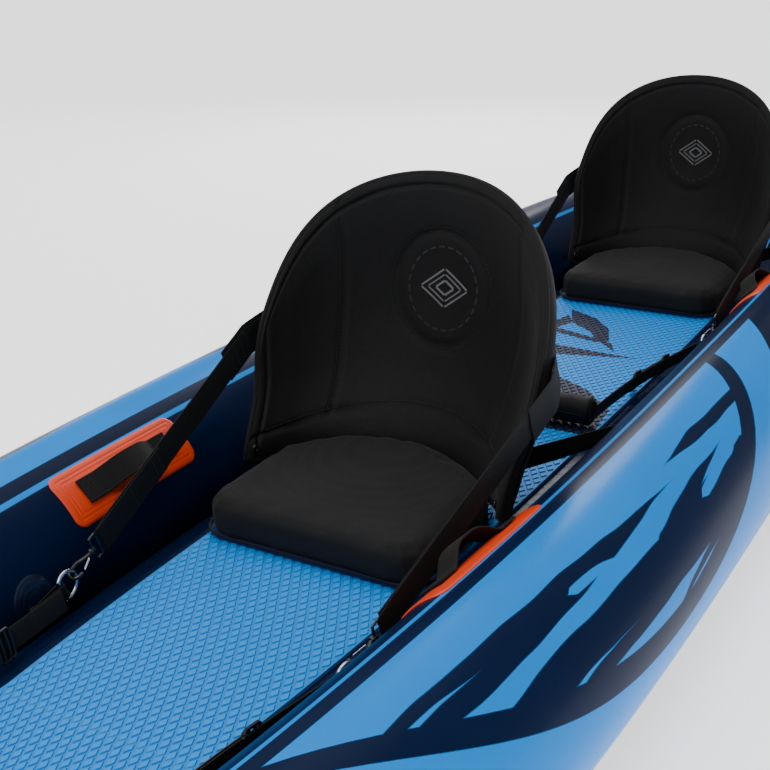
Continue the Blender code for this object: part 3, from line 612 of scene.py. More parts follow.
def stack(profile, place, sides=40):
    """Turned solid whose outline starts and ends near the axis; both ends are closed flat."""
    rings = []
    for r, z in profile:
        points = [Vector((r * math.cos(turn), r * math.sin(turn), z)) for turn in round_turns(sides)]
        rings.append([place @ point for point in points])
    return loft(rings)


def merge(*parts):
    """Several bmeshes as one."""
    total = bmesh.new()
    for part in parts:
        mesh = bpy.data.meshes.new("part")
        part.to_mesh(mesh)
        part.free()
        total.from_mesh(mesh)
        bpy.data.meshes.remove(mesh)
    return total


# Hull shape -----------------------------------------------------------------------------------------
DECK_HUG = math.radians(70)
DECK_CROWN = 0.030
DECK_T = 0.0021
DECK_TOP = 0.003
DECK_HANDLE_POINT = 9
HANDLE_HALF = 0.055
GRIP_HALF = 0.034


def rocker(y):
    """How far the hull's bottom rises towards its ends."""
    return ROCKER_RISE * (max(0, abs(y) - ROCKER_START) / ROCKER_SPAN) ** ROCKER_POWER


def half_beam(y):
    """Half of the width over both tubes."""
    share = min(abs(y) / TUBE_HALF_LENGTH, 1)
    return TIP_HALF_BEAM + (HALF_BEAM - TIP_HALF_BEAM) * (1 - share ** PLAN_POWER)


def tube_section(y):
    """Centre x and z of the port tube, and its radius."""
    share = min(abs(y) / TUBE_HALF_LENGTH, 1)
    radius = TIP_R + (TUBE_R - TIP_R) * (1 - share ** TAPER_POWER)
    return half_beam(y) - radius, TUBE_BOTTOM + rocker(y) + radius, radius


def on_tube(side, y, angle, lift=0.0):
    """Point on a tube's skin; the angle runs up and outwards from the tube's inner side."""
    x, z, radius = tube_section(y)
    reach = radius + lift
    return Vector((side * (x - reach * math.cos(angle)), y, z + reach * math.sin(angle)))


def tube_place(side, y, angle, lift=0.0):
    """Local frame on a tube's skin: Z outwards, Y along the hull, X round the tube."""
    step = 0.001
    along = (on_tube(side, y + step, angle) - on_tube(side, y - step, angle)).normalized()
    round_tube = on_tube(side, y, angle + step) - on_tube(side, y, angle - step)
    outward = along.cross(round_tube).normalized()
    if outward.dot(on_tube(side, y, angle, 0.01) - on_tube(side, y, angle)) < 0:
        outward.negate()
    across = along.cross(outward).normalized()
    axes = Matrix((across, along, outward)).transposed().to_4x4()
    return Matrix.Translation(on_tube(side, y, angle, lift)) @ axes


def build_tubes(material):
    """Side tubes with round tips, and the flat layout that their artwork is printed on."""
    sides = 56
    start = -math.pi / 2
    for name, side in SIDES:
        low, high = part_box(f"{name}_side_tube")
        half = TUBE_HALF_LENGTH
        tips = [math.radians(angle) for angle in spread(8, 82, 8)]
        stations = [(-half - TIP_R * math.sin(turn), math.cos(turn)) for turn in reversed(tips)]
        stations += [(y, 1) for y in spread(-half, half, 180)]
        stations += [(half + TIP_R * math.sin(turn), math.cos(turn)) for turn in tips]
        rings = []
        for y, shrink in stations:
            x, z, radius = tube_section(min(max(y, -half), half))
            y = min(max(y, low.y), high.y)
            ring = []
            for step in range(sides):
                turn = start + 2 * math.pi * step / sides
                reach = radius * shrink
                ring.append(Vector((side * (x - reach * math.cos(turn)), y, z + reach * math.sin(turn))))
            rings.append(ring)

        def skins(row, column):
            return stations[min(row, len(stations) - 1)][0], (start + 2 * math.pi * column / sides) * TUBE_R

        tube = link(f"{name}_tube_skin", loft(rings, skins=skins), material)
        ready(tube, "hull", "tube_pvc", f"{name}_side_tube")


def pad_half(y):
    """Half of the pad's width, which narrows with the hull."""
    return PAD_HALF_WIDTH - (HALF_BEAM - half_beam(y))


def build_pad(material):
    """Foam sheet with staggered diamonds standing out of it, long along the boat."""
    columns = 2 * int(PAD_HALF_WIDTH / DIAMOND_HALF_X)
    rows = 2 * int(PAD_HALF_LENGTH / DIAMOND_HALF_Y)
    valley = PAD_T - DIAMOND_RISE
    data = bmesh.new()
    layer = data.verts.layers.float.new("raised")

    def point(column, row, height):
        y = -PAD_HALF_LENGTH + 2 * PAD_HALF_LENGTH * row / rows
        half = pad_half(y)
        low = PAD_LOW.z + rocker(y) + PAD_ENDS_RISE * (abs(y) > ROCKER_START)
        return data.verts.new((-half + 2 * half * column / columns, y, low + height))

    def ring(column, row, share, height):
        return [point(column + x * share, row + y * share, height) for x, y in DIAMOND]

    ground = {}
    for row in range(rows + 1):
        for column in range(row % 2, columns + 1, 2):
            ground[column, row] = point(column, row, valley)
    for row in range(rows + 1):
        for column in range(1 - row % 2, columns + 1, 2):
            places = [(column + x, row + y) for x, y in DIAMOND]
            corners = [ground[place] for place in places if place in ground]
            if len(corners) < len(DIAMOND):
                data.faces.new(corners)
                continue
            foot = ring(column, row, DIAMOND_FOOT, valley)
            top = ring(column, row, DIAMOND_TOP, PAD_T - 0.0001)
            for vert in top:
                vert[layer] = 1.0
            for index in range(4):
                after = (index + 1) % 4
                data.faces.new((corners[index], corners[after], foot[after], foot[index]))
                data.faces.new((foot[index], foot[after], top[after], top[index]))
            data.faces.new(top)
    rim = [ground[column, 0] for column in range(0, columns, 2)]
    rim += [ground[columns, row] for row in range(0, rows, 2)]
    rim += [ground[column, rows] for column in range(columns, 0, -2)]
    rim += [ground[0, row] for row in range(rows, 0, -2)]
    base = {vert: data.verts.new(vert.co - Vector((0, 0, valley))) for vert in rim}
    for vert, after in zip(rim, rim[1:] + rim[:1]):
        data.faces.new((vert, after, base[after], base[vert]))
    left = [base[ground[0, row]] for row in range(0, rows + 1, 2)]
    right = [base[ground[columns, row]] for row in range(0, rows + 1, 2)]
    for index in range(1, len(left) - 2):
        data.faces.new((left[index], left[index + 1], right[index + 1], right[index]))
    for row, at in ((0, 1), (rows, -2)):
        edge = [base[ground[column, row]] for column in range(0, columns + 1, 2)]
        data.faces.new(edge + [right[at], left[at]])
    pad = link("foam_deck_pad", data, material, smooth=25)
    ready(pad, "hull", "pad_foam", "deck_pad")


def deck_row(y, lift):
    """One cross row of an end deck, from outside one tube over both to outside the other."""
    low = on_tube(1, y, DECK_HUG, lift)
    row = [on_tube(1, y, angle, lift) for angle in spread(math.pi - DECK_HUG, DECK_HUG, 5)]
    for share in spread(1, -1, 15)[1:-1]:
        row.append(Vector((low.x * share, y, low.z + DECK_CROWN * (1 - share * share))))
    mirrored = [Vector((-point.x, point.y, point.z)) for point in row[:5]]
    return row + mirrored[::-1]


def build_end(name, end, materials):
    """Deck sheet of one end, with a hem along its two free edges."""
    low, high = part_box(f"{name}_deck")
    start, stop = (low.y, high.y) if end > 0 else (high.y, low.y)
    rows = spread(start, stop, 34)
    lift = 0.0015
    hem_in = 0.004
    under = [deck_row(y, lift) for y in rows]
    over = [deck_row(y, lift + DECK_T) for y in rows]
    deck = link(f"{name}_deck_skin", sheet(under, over), materials["deck"])
    ready(deck, "hull", "deck_pvc", f"{name}_deck")
    hem = []
    for y in (start, stop):
        inwards = hem_in if y == start else -hem_in
        hem.append(rod(deck_row(y + inwards * end, lift + DECK_T + 0.00015), 0.0018, 8))
    ready(link(f"{name}_deck_hems", merge(*hem), materials["rubber"]), "hull", "deck_pvc")


def build_stem(name, end, material):
    """Moulded bumper between the tube tips, with three ribs round it."""
    low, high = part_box(f"{name}_stem")
    inner, outer = (low.y, high.y) if end > 0 else (high.y, low.y)
    length = abs(outer - inner)
    nose_in = TUBE_HALF_LENGTH + TIP_R + 0.001
    x, z, radius = tube_section(TUBE_HALF_LENGTH)
    room = x - radius - 0.0014
    profile = []
    for reach in spread(0, 1, 40):
        y = abs(inner) + length * reach
        if y < nose_in:
            wide = room * min(1, 0.7 + 0.6 * reach)
            tall = 0.022 + 0.028 * min(1, reach * 1.3)
        else:
            share = (y - nose_in) / (abs(outer) - nose_in)
            wide = 0.046 * math.sqrt(max(0, 1 - share ** 2.2)) + 0.004
            tall = 0.048 * math.sqrt(max(0, 1 - share ** 2.4)) + 0.004
            wide = max(wide + 0.0012 * math.cos(share * 18 * math.pi / 2), 0.012)
        profile.append((y, wide, tall))
    rings = []
    for y, wide, tall in profile:
        turns = round_turns(32)
        rings.append([Vector((wide * math.cos(t), end * y, z + tall * math.sin(t))) for t in turns])
    ready(link(f"{name}_bumper", loft(rings), material), "hull", "black_plastic", f"{name}_stem")


def build_carry_handle(name, end, materials):
    """Webbing loop lying on the deck, with a ribbed rubber grip."""
    low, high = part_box(f"{name}_handle")
    joint = JOINTS[f"{name}_handle_swing"]
    root = Vector(joint["pos_m"])
    grip_y = low.y + 0.009 if end > 0 else high.y - 0.009
    half = HANDLE_HALF
    grip_z = deck_row(grip_y, DECK_TOP)[DECK_HANDLE_POINT].z + 0.012
    up = Vector((0, 0, 1))
    points = [Vector((half, root.y, root.z)), Vector((half, (root.y + grip_y) / 2, (root.z + grip_z) / 2)),
              Vector((half * 0.93, grip_y + end * 0.010, grip_z)), Vector((half * 0.62, grip_y, grip_z)),
              Vector((0, grip_y, grip_z))]
    path = smooth_path(points, 5)
    path += [Vector((-point.x, point.y, point.z)) for point in reversed(path[:-1])]
    ways = tangents(path)
    across = [way.cross(up).normalized() for way in ways]
    loop = link(f"{name}_handle_loop", band(path, across, 0.016, 0.0030), materials["webbing"])
    ready(loop, f"{name}_handle", "webbing", f"{name}_handle")
    body = []
    for share in spread(-1, 1, 41):
        swell = 0.0098 - 0.0022 * abs(share) ** 3 + 0.0007 * math.cos(share * 11 * math.pi)
        if abs(share) > 0.98:
            swell *= 0.82
        middle = Vector((share * GRIP_HALF, grip_y, grip_z))
        turns = round_turns(20)
        body.append([middle + swell * Vector((0, math.cos(turn), math.sin(turn))) for turn in turns])
    ready(link(f"{name}_handle_grip", loft(body), materials["rubber"]), f"{name}_handle", "webbing")
    anchors = []
    base_y = root.y + end * 0.020
    base_z = deck_row(base_y, DECK_TOP)[DECK_HANDLE_POINT].z + 0.0008
    for side, loop_end in ((1, path[0]), (-1, path[-1])):
        base = Vector((side * half, base_y, base_z))
        place = Matrix.Translation(base)
        anchors.append(stack(((0.016, 0), (0.016, 0.0016), (0.0145, 0.0026), (0.004, 0.0030)), place, 32))
        top = base + Vector((0, 0, 0.0032))
        line = [top + Vector((0, end * 0.012, 0)), top, top.lerp(path[0], 0.6), loop_end.copy()]
        anchors.append(band(line, Vector((1, 0, 0)), 0.016, 0.0026))
    ready(link(f"{name}_handle_anchors", merge(*anchors), materials["rubber"]), "hull", "black_plastic")


# Fittings -------------------------------------------------------------------------------------------
PATCH_SPAN = (0.47, 1.11)
PATCH_CORNER = 0.015
PATCH_BASE = 0.0005
PATCH_T = 0.0018
PATCH_LINE_DEPTH = 0.0008
PATCH_LINE_W = 0.0009
GRAB_HALF = 0.0825
GRAB_FOOT = 0.028
GRAB_RISE = 0.020
GRAB_WIDTH = 0.033
GRAB_LIFT = PATCH_BASE + 0.0022
RING_R = 0.0165
RING_WIRE = 0.0025
TAB_LIFT = 0.0022
RING_PATCH_UP = 0.020
RING_PATCH_R = 0.030
RING_PATCH_BACK = 0.034


def ridge(value, width):
    """Smooth hump round zero."""
    return math.exp(-(value / width) ** 2)


def patch_grid(side, y_mid, length, lift):
    """Grid of a rounded patch on the tube's skin; lift gives its height from the way in from its edge."""
    rows = 57
    columns = 121
    low, high = PATCH_SPAN
    radius = tube_section(y_mid)[2]
    arc = (high - low) * radius
    grid = []
    for row in range(rows):
        turn = -math.cos(math.pi * row / (rows - 1))
        from_edge = arc / 2 * (1 - abs(turn))
        cut = max(0, PATCH_CORNER - from_edge)
        inset = PATCH_CORNER - math.sqrt(max(0, PATCH_CORNER ** 2 - cut ** 2))
        angle = (low + high) / 2 + (high - low) / 2 * turn
        line = []
        for column in range(columns):
            share = -math.cos(math.pi * column / (columns - 1))
            reach = length / 2 - inset
            from_end = reach * (1 - abs(share))
            line.append(on_tube(side, y_mid + share * reach, angle, lift(min(from_edge, from_end))))
        grid.append(line)
    return grid


def patch_height(way_in):
    """Thin at its rim, with two sunk lines round it."""
    rise = PATCH_T * min(1, (way_in / 0.0035) ** 0.5) if way_in > 0 else 0.0
    for at in (0.0100, 0.0150):
        rise -= PATCH_LINE_DEPTH * ridge(way_in - at, PATCH_LINE_W)
    return PATCH_BASE + rise


def build_side_handle(name, side, materials):
    """Orange patch and the arched webbing handle sewn to it."""
    low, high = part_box(f"{name}_handle_patch")
    y_mid = (low.y + high.y) / 2
    length = high.y - low.y
    over = patch_grid(side, y_mid, length, patch_height)
    under = patch_grid(side, y_mid, length, lambda _: PATCH_BASE - SKIN_GAP)
    patch = link(f"{name}_patch", sheet(under, over), materials["patch"], smooth=60)
    ready(patch, "hull", "patch_pvc", f"{name}_handle_patch")

    angle = sum(PATCH_SPAN) / 2
    points = []
    across = []
    for offset in spread(-GRAB_HALF, GRAB_HALF, 241):
        share = min(abs(offset) / (GRAB_HALF - GRAB_FOOT), 1)
        rise = GRAB_RISE * (0.5 + 0.5 * math.cos(math.pi * share ** 1.6))
        ribs = 0.0010 * math.cos(offset * 2 * math.pi / 0.0070) ** 2 if share == 1 else 0
        points.append(on_tube(side, y_mid + offset, angle, GRAB_LIFT + WEB_T / 2 + rise + ribs))
        across.append(tube_place(side, y_mid + offset, angle).col[0].to_3d())
    loop = band(points, across, GRAB_WIDTH, 0.0026, ribs=4)
    handle = link(f"{name}_grab_handle", loop, materials["webbing"])
    ready(handle, "hull", "webbing", f"{name}_handle")
    stitches = []
    for end in (-1, 1):
        for inset in (0.006, 0.013, 0.020):
            for offset in spread(-0.0135, 0.0135, 10):
                spot = y_mid + end * (GRAB_HALF - inset)
                place = tube_place(side, spot, angle + offset / TUBE_R, GRAB_LIFT + WEB_T + 0.0008)
                start = place @ Vector((-0.0009, 0.0002, 0))
                stop = place @ Vector((0.0009, -0.0002, 0))
                middle = (start + stop) / 2 + place.col[2].to_3d() * 0.0003
                stitches.append(rod([start, middle, stop], 0.00035, 5))
    ready(link(f"{name}_handle_stitches", merge(*stitches), materials["thread"]), "hull", "webbing")


def build_ring_patch(name, side, ring_y, materials):
    """Round moulded patch with embossed rings, on which a D-ring's tab is welded."""
    _, z, radius = tube_section(ring_y)
    angle = math.asin((PAD_TOP + RING_PATCH_UP - z) / radius)
    reach = RING_PATCH_R
    steps = 18

    def circle(r, lift):
        places = [(ring_y + r * math.cos(t), angle + r * math.sin(t) / radius) for t in round_turns(48)]
        return [on_tube(side, y, spot, lift) for y, spot in places]

    circles = []
    for step in range(1, steps + 1):
        r = reach * step / steps
        rise = 0.0006 + 0.0016 * min(1, (1 - step / steps) * 5) ** 0.6
        for at in (0.40, 0.62, 0.82):
            rise -= 0.0006 * ridge(r / reach - at, 0.035)
        circles.append(circle(r, rise))
    circles.append(circle(reach, 0.0002))
    patch = link(f"{name}_ring_patch", loft(circles), materials["navy_rubber"], smooth=60)
    ready(patch, "hull", "deck_pvc")


def build_ring(name, materials):
    """Welded steel D-ring, finer than its CAD solid."""
    low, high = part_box(f"{name}_ring")
    joint = JOINTS[f"{name}_ring_swing"]
    bar = Vector(joint["axis"]).normalized()
    middle = Vector(joint["pos_m"])
    centre = (low + high) / 2
    pull = centre - middle
    pull = (pull - bar * pull.dot(bar)).normalized()
    centre = middle + pull * RING_R / 2
    points = []
    for turn in spread(-2 * math.pi / 3, 2 * math.pi / 3, 40):
        points.append(centre + RING_R * (pull * math.cos(turn) + bar * math.sin(turn)))
    points += [points[-1].lerp(points[0], share) for share in spread(0, 1, 12)[1:-1]]
    ring = link(f"{name}_d_ring", rod(points, RING_WIRE * 0.98, 14, closed=True), materials["steel"])
    ready(ring, f"{name}_ring", "steel", f"{name}_ring")
    return middle, bar


def build_ring_tab(name, side, middle, bar, materials):
    """Webbing folded round the ring's bar, with both tails on the round patch."""
    wrap = RING_WIRE + 0.0006 + WEB_T / 2
    tail_y = middle.y - 0.030
    _, z, radius = tube_section(tail_y)
    angle = math.asin((middle.z - 0.012 - z) / radius)
    root = on_tube(side, tail_y, angle, TAB_LIFT + WEB_T / 2)
    tail = on_tube(side, tail_y - 0.016, angle, TAB_LIFT + WEB_T / 2)
    toward = (middle - root).normalized()
    away = bar.cross(toward).normalized()
    if away.x * side > 0:
        away.negate()
    layer = away * (WEB_T + 0.0003)
    points = [tail, (tail + root) / 2, root]
    for turn in spread(-math.pi / 2, math.pi / 2, 11):
        points.append(middle + wrap * (toward * math.cos(turn) + away * math.sin(turn)))
    points += [root + layer, (root + tail) / 2 + layer, tail + layer]
    tab = link(f"{name}_tab", band(points, bar, 0.020), materials["webbing"])
    ready(tab, "hull", "webbing", f"{name}_ring_tab")


def build_hook(name, side, materials):
    """Snap hook: webbing eye, swivel collar, bow and sprung gate."""
    swivel = JOINTS[f"{name}_hook_swivel"]
    eye = Vector(swivel["pos_m"])
    pull = Vector(swivel["axis"]).normalized()
    up = Vector((0, pull.z, -pull.y)).normalized()
    if up.z < 0:
        up.negate()
    out = pull.cross(up) * -side
    axes = Matrix((out, up, pull)).transposed().to_4x4()
    place = Matrix.Translation(eye) @ axes
    bow_r = 0.0085
    ring_at = Vector(JOINTS[f"{name}_ring_swing"]["pos_m"]) + pull * RING_R / 2
    bow_z = 0.002 + RING_R - (eye - ring_at).length
    line = [(0, -0.010), (0, -0.0145), (-0.0015, -0.0185), (-0.0045, -0.0235), (-0.0075, -0.028),
            (-bow_r, -0.033)]
    for angle in range(0, 181, 12):
        turn = math.radians(angle)
        line.append((-bow_r * math.cos(turn), bow_z - bow_r * math.sin(turn)))
    line.append((bow_r, bow_z + 0.0012))
    path = [place @ Vector((a, 0, b)) for a, b in line]
    sizes = [0.0030] * 3 + [0.0028] * 3 + [0.0026] * (len(path) - 7) + [0.0030]
    collar = stack(((0.0020, -0.0125), (0.0046, -0.0120), (0.0052, -0.0100), (0.0046, -0.0080),
                    (0.0034, -0.0072), (0.0042, -0.0062), (0.0042, -0.0046), (0.0020, -0.0040)), place, 24)
    parts = [rod(path, sizes, 12), collar]
    hook = link(f"{name}_snap_hook", merge(*parts), materials["hook"])
    ready(hook, f"{name}_hook", "hook_metal", f"{name}_hook")
    wide = 0.016
    loop = []
    for a, b in ((-wide, 0), (-wide, -0.005), (-wide * 0.6, -0.0062), (0, -0.0062), (wide * 0.6, -0.0062),
                 (wide, -0.005), (wide, 0), (wide, 0.004), (wide * 0.6, 0.0052), (0, 0.0052),
                 (-wide * 0.6, 0.0052), (-wide, 0.004)):
        loop.append(place @ Vector((0, a, b)))
    eye_piece = link(f"{name}_hook_eye", rod(loop, 0.0017, 10, closed=True), materials["hook"])
    ready(eye_piece, "hull", "hook_metal")
    gate_joint = JOINTS[f"{name}_gate_open"]
    pivot = Vector(gate_joint["pos_m"])
    tip = place @ Vector((bow_r, 0, bow_z + 0.0052))
    run = tip - pivot
    flat = [pivot + run * share for share in spread(0.0, 0.90, 10)]
    wires = []
    for shift in (-0.0009, 0.0009):
        wires.append(rod([point + up * shift for point in flat], 0.00065, 8))
    gate = link(f"{name}_gate", merge(*wires), materials["steel"])
    ready(gate, f"{name}_gate", "steel", f"{name}_hook_gate")
    return eye, pull


# Seats ----------------------------------------------------------------------------------------------
SHELL_A = 0.189
SHELL_B = 0.165
SHELL_T = 0.017
SHELL_WRAP = math.radians(80)
SHELL_LOW = 0.012
SHELL_WING_LOW = 0.040
SHELL_SHOULDER = 0.120
SHELL_CROWN_POWER = 2.05
FLARE_START = 0.060
FLARE_SPAN = 0.160
FLARE_OUT = 0.020
FLARE_FORWARD = 0.030
CUSHION_CROWN = 0.013
EMBLEM_UP = 0.250
EMBLEM_A = 0.066
EMBLEM_B = 0.080
SEAM_TURN = math.radians(41)
PANEL_UP = 0.094
PANEL_DROP = 0.028
EMBLEM_DEEP = 0.0042
EMBLEM_WIDE = 0.0028
EMBLEM_PUFF = 0.0020
EMBLEM_EDGE = 0.014
EMBLEM_STITCH = 0.0058
ROOT_UP = 0.186
ROOT_REACH = 0.066
CUSHION_HALF = 0.165
CUSHION_CORNER = 0.045
CUSHION_MIDDLE_UP = 0.0275
CUSHION_GAP = 0.008
CUSHION_SHRINK = (0.985, 0.985, 0.950)
PUFF = 0.0045
PUFF_REACH = 0.055
RIM_SEAM = 0.0165
SEAM_WIDE = 0.0026
SEAM_DEEP = 0.0040
PANEL_DEEP = 0.0042
PANEL_WIDE = 0.0030
UPRIGHT_DEEP = 0.0030
BACK_LINE = ((0.00, 0.285), (0.06, 0.290), (0.14, 0.345), (0.22, 0.375), (0.30, 0.380), (0.41, 0.362))


def smooth_line(table, value):
    """Read a smooth curve through (position, value) pairs at one position."""
    for index in range(len(table) - 1):
        if value <= table[index + 1][0] or index == len(table) - 2:
            break
    (x0, y0), (x1, y1), (x2, y2), (x3, y3) = [
        table[min(max(index + step, 0), len(table) - 1)] for step in (-1, 0, 1, 2)]
    step = x2 - x1
    t = min(max((value - x1) / step, 0), 1)
    rise = (3 - 2 * t) * t * t
    ease_a = t * (1 - t) ** 2 * step * (y2 - y0) / (x2 - x0)
    ease_b = t * t * (t - 1) * step * (y3 - y1) / (x3 - x1)
    return y1 + (y2 - y1) * rise + ease_a + ease_b


class Shell:
    """The backrest's shape, placed by its CAD node."""

    def __init__(self, seat):
        self.seat = seat
        self.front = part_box(f"{seat}_seat_cushion")[0].y
        self.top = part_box(f"{seat}_backrest")[1].z - PAD_TOP

    def point(self, turn, height, outward=0.0):
        share = min(max((height - FLARE_START) / FLARE_SPAN, 0), 1)
        flare = share * share * (3 - 2 * share)
        a = SHELL_A + FLARE_OUT * flare + outward
        b = SHELL_B + FLARE_FORWARD * flare + outward * 0.6
        middle = self.front + smooth_line(BACK_LINE, height) + outward
        return Vector((a * math.sin(turn), middle - b * (1 - math.cos(turn)), PAD_TOP + height))

    def span(self, share):
        """Lowest and highest height at a share of the way round, -1 to 1."""
        crown = math.sqrt(max(0, 1 - abs(share) ** SHELL_CROWN_POWER))
        top = SHELL_SHOULDER + (self.top - SHELL_SHOULDER) * crown
        return SHELL_LOW + (SHELL_WING_LOW - SHELL_LOW) * share ** 4, top

    def place(self, turn, height, outward=0.0):
        """Local frame on the inner face: Z towards the sitter, X round, Y up."""
        step = 0.002
        around = (self.point(turn + step, height) - self.point(turn - step, height)).normalized()
        up = self.point(turn, height + step) - self.point(turn, height - step)
        up = (up - around * up.dot(around)).normalized()
        axes = Matrix((around, up, around.cross(up))).transposed().to_4x4()
        return Matrix.Translation(self.point(turn, height, outward)) @ axes


def shell_relief(turn, height, rim):
    """How far the inner face stands towards the sitter: puffed panels, sewn channels and an oval badge."""
    across = math.sin(turn) * SHELL_A
    relief = PUFF * min(1, rim / PUFF_REACH) ** 0.7
    relief -= SEAM_DEEP * ridge(rim - RIM_SEAM, SEAM_WIDE)
    panel = PANEL_UP - PANEL_DROP * (across / SHELL_A) ** 2
    relief -= PANEL_DEEP * ridge(height - panel, PANEL_WIDE)
    if height > panel:
        relief -= UPRIGHT_DEEP * ridge((abs(turn) - SEAM_TURN) * SHELL_A, SEAM_WIDE)
    inside = EMBLEM_A * (1 - math.hypot(across / EMBLEM_A, (height - EMBLEM_UP) / EMBLEM_B))
    relief -= EMBLEM_DEEP * ridge(inside, EMBLEM_WIDE)
    if inside > 0:
        relief += EMBLEM_PUFF * min(1, inside / EMBLEM_EDGE)
    return relief


def build_backrest(shell, materials):
    """Foam shell under a sewn cover: fine grid, puffed between its seams, with a piped rim."""
    seat = shell.seat
    columns = 129
    rows = 85
    inner = []
    outer = []
    for row in range(rows):
        rise = math.sin(math.pi / 2 * row / (rows - 1)) ** 1.15
        inner_row = []
        outer_row = []
        for column in range(columns):
            share = math.sin(math.pi / 2 * (2 * column / (columns - 1) - 1))
            turn = SHELL_WRAP * share
            bottom, top = shell.span(share)
            height = bottom + (top - bottom) * rise
            side_rim = (1 - abs(share)) * SHELL_WRAP * SHELL_A
            rim = max(0.0, min(top - height, side_rim, height - bottom + 0.010))
            round_edge = min(1, rim / 0.010)
            thickness = SHELL_T * min(1, 0.62 + rim / 0.045)
            pull_in = 0.30 * thickness * (1 - math.sqrt(max(0, 1 - (1 - round_edge) ** 2)))
            inner_row.append(shell.point(turn, height, pull_in - shell_relief(turn, height, rim)))
            outward = thickness - pull_in - 0.0006 * ridge(rim - RIM_SEAM, SEAM_WIDE)
            outward -= 0.0020 * ridge((abs(turn) - SEAM_TURN) * SHELL_A, 0.003) * (height > 0.05)
            outer_row.append(shell.point(turn, height, outward))
        inner.append(inner_row)
        outer.append(outer_row)
    cover = link(f"{seat}_back_cover", sheet(inner, outer), materials["back_fabric"], smooth=80)
    ready(cover, f"{seat}_back", "backrest_fabric", f"{seat}_backrest")

    rim_line = []
    for share in [math.sin(math.pi / 2 * way) for way in spread(-1, 1, 121)]:
        rim_line.append(shell.point(SHELL_WRAP * share, shell.span(share)[1] - 0.0010, SHELL_T * 0.30))
    wing = []
    for step in spread(1, 0, 14)[1:-1]:
        bottom, top = shell.span(1)
        wing.append(shell.point(SHELL_WRAP, bottom + (top - bottom) * step, SHELL_T * 0.30))
    foot = []
    for share in spread(1, -1, 61):
        foot.append(shell.point(SHELL_WRAP * share, shell.span(share)[0] + 0.001, SHELL_T * 0.35))
    mirrored = [Vector((-point.x, point.y, point.z)) for point in reversed(wing)]
    loop = rim_line + wing + foot + mirrored
    piping = link(f"{seat}_back_piping", rod(loop, 0.0040, 10, closed=True), materials["binding"])
    ready(piping, f"{seat}_back", "backrest_fabric")
    build_back_stitches(shell, materials)
    build_emblem(shell, materials)
    build_wing_flaps(shell, materials)


def stitch_row(shell, places, lift=0.0010, length=0.0030):
    """Short thread marks on the inner face at (turn, height, heading) places."""
    made = []
    for turn, height, heading, rim in places:
        place = shell.place(turn, height, -shell_relief(turn, height, rim) - lift)
        way = Vector((math.cos(heading), math.sin(heading), 0)) * length / 2
        made.append(rod([place @ -way, place @ Vector((0, 0, 0.0003)), place @ way], 0.00040, 5))
    return made


def build_back_stitches(shell, materials):
    """Rows of stitches beside the curved lower seam, the two upright seams and round the badge."""
    seat = shell.seat
    places = []
    for turn in spread(-SHELL_WRAP * 0.90, SHELL_WRAP * 0.90, 116):
        across = math.sin(turn) * SHELL_A
        panel = PANEL_UP - PANEL_DROP * (across / SHELL_A) ** 2
        places.append((turn, panel + 0.0062, 0.0, 0.05))
    for side in (1, -1):
        top = shell.span(SEAM_TURN / SHELL_WRAP)[1]
        for height in spread(PANEL_UP - 0.004, top - 0.024, 54):
            places.append((side * (SEAM_TURN + 0.0060 / SHELL_A), height, math.pi / 2, 0.05))
    count = 84
    for step in range(count):
        angle = 2 * math.pi * step / count
        height = EMBLEM_UP + (EMBLEM_B + EMBLEM_STITCH) * math.sin(angle)
        turn = math.asin((EMBLEM_A + EMBLEM_STITCH) * math.cos(angle) / SHELL_A)
        places.append((turn, height, angle + math.pi / 2, 0.05))
    marks = stitch_row(shell, places)
    stitches = link(f"{seat}_back_stitches", merge(*marks), materials["thread"])
    ready(stitches, f"{seat}_back", "backrest_fabric")


def build_emblem(shell, materials):
    """Plain printed badge: three nested diamonds in a ring of dashes, with no lettering."""
    seat = shell.seat

    def spot(x, y):
        turn = math.asin(x / SHELL_A)
        height = EMBLEM_UP + y
        return shell.point(turn, height, -shell_relief(turn, height, 0.06) - 0.0003)

    towards = shell.place(0, EMBLEM_UP).col[2].to_3d()

    def line(points, width):
        across = [way.cross(towards).normalized() for way in tangents(points)]
        return band(points, across, width, 0.0006)

    marks = []
    for reach, width in ((0.034, 0.0024), (0.024, 0.0020), (0.013, 0.0030)):
        corners = [(reach, 0), (0, reach * 0.8), (-reach, 0), (0, -reach * 0.8)]
        for (x0, y0), (x1, y1) in zip(corners, corners[1:] + corners[:1]):
            points = [spot(x0 + (x1 - x0) * s, y0 + (y1 - y0) * s) for s in spread(0.04, 0.96, 7)]
            marks.append(line(points, width))
    dashes = []
    for step in range(24):
        angles = spread(step * math.pi / 12, step * math.pi / 12 + 0.16, 4)
        points = [spot(0.049 * math.cos(angle), 0.058 * math.sin(angle)) for angle in angles]
        dashes.append(line(points, 0.0022))
    ready(link(f"{seat}_back_badge", merge(*marks), materials["print"]), f"{seat}_back", "backrest_fabric")
    ring = link(f"{seat}_back_badge_stitches", merge(*dashes), materials["thread"])
    ready(ring, f"{seat}_back", "backrest_fabric")


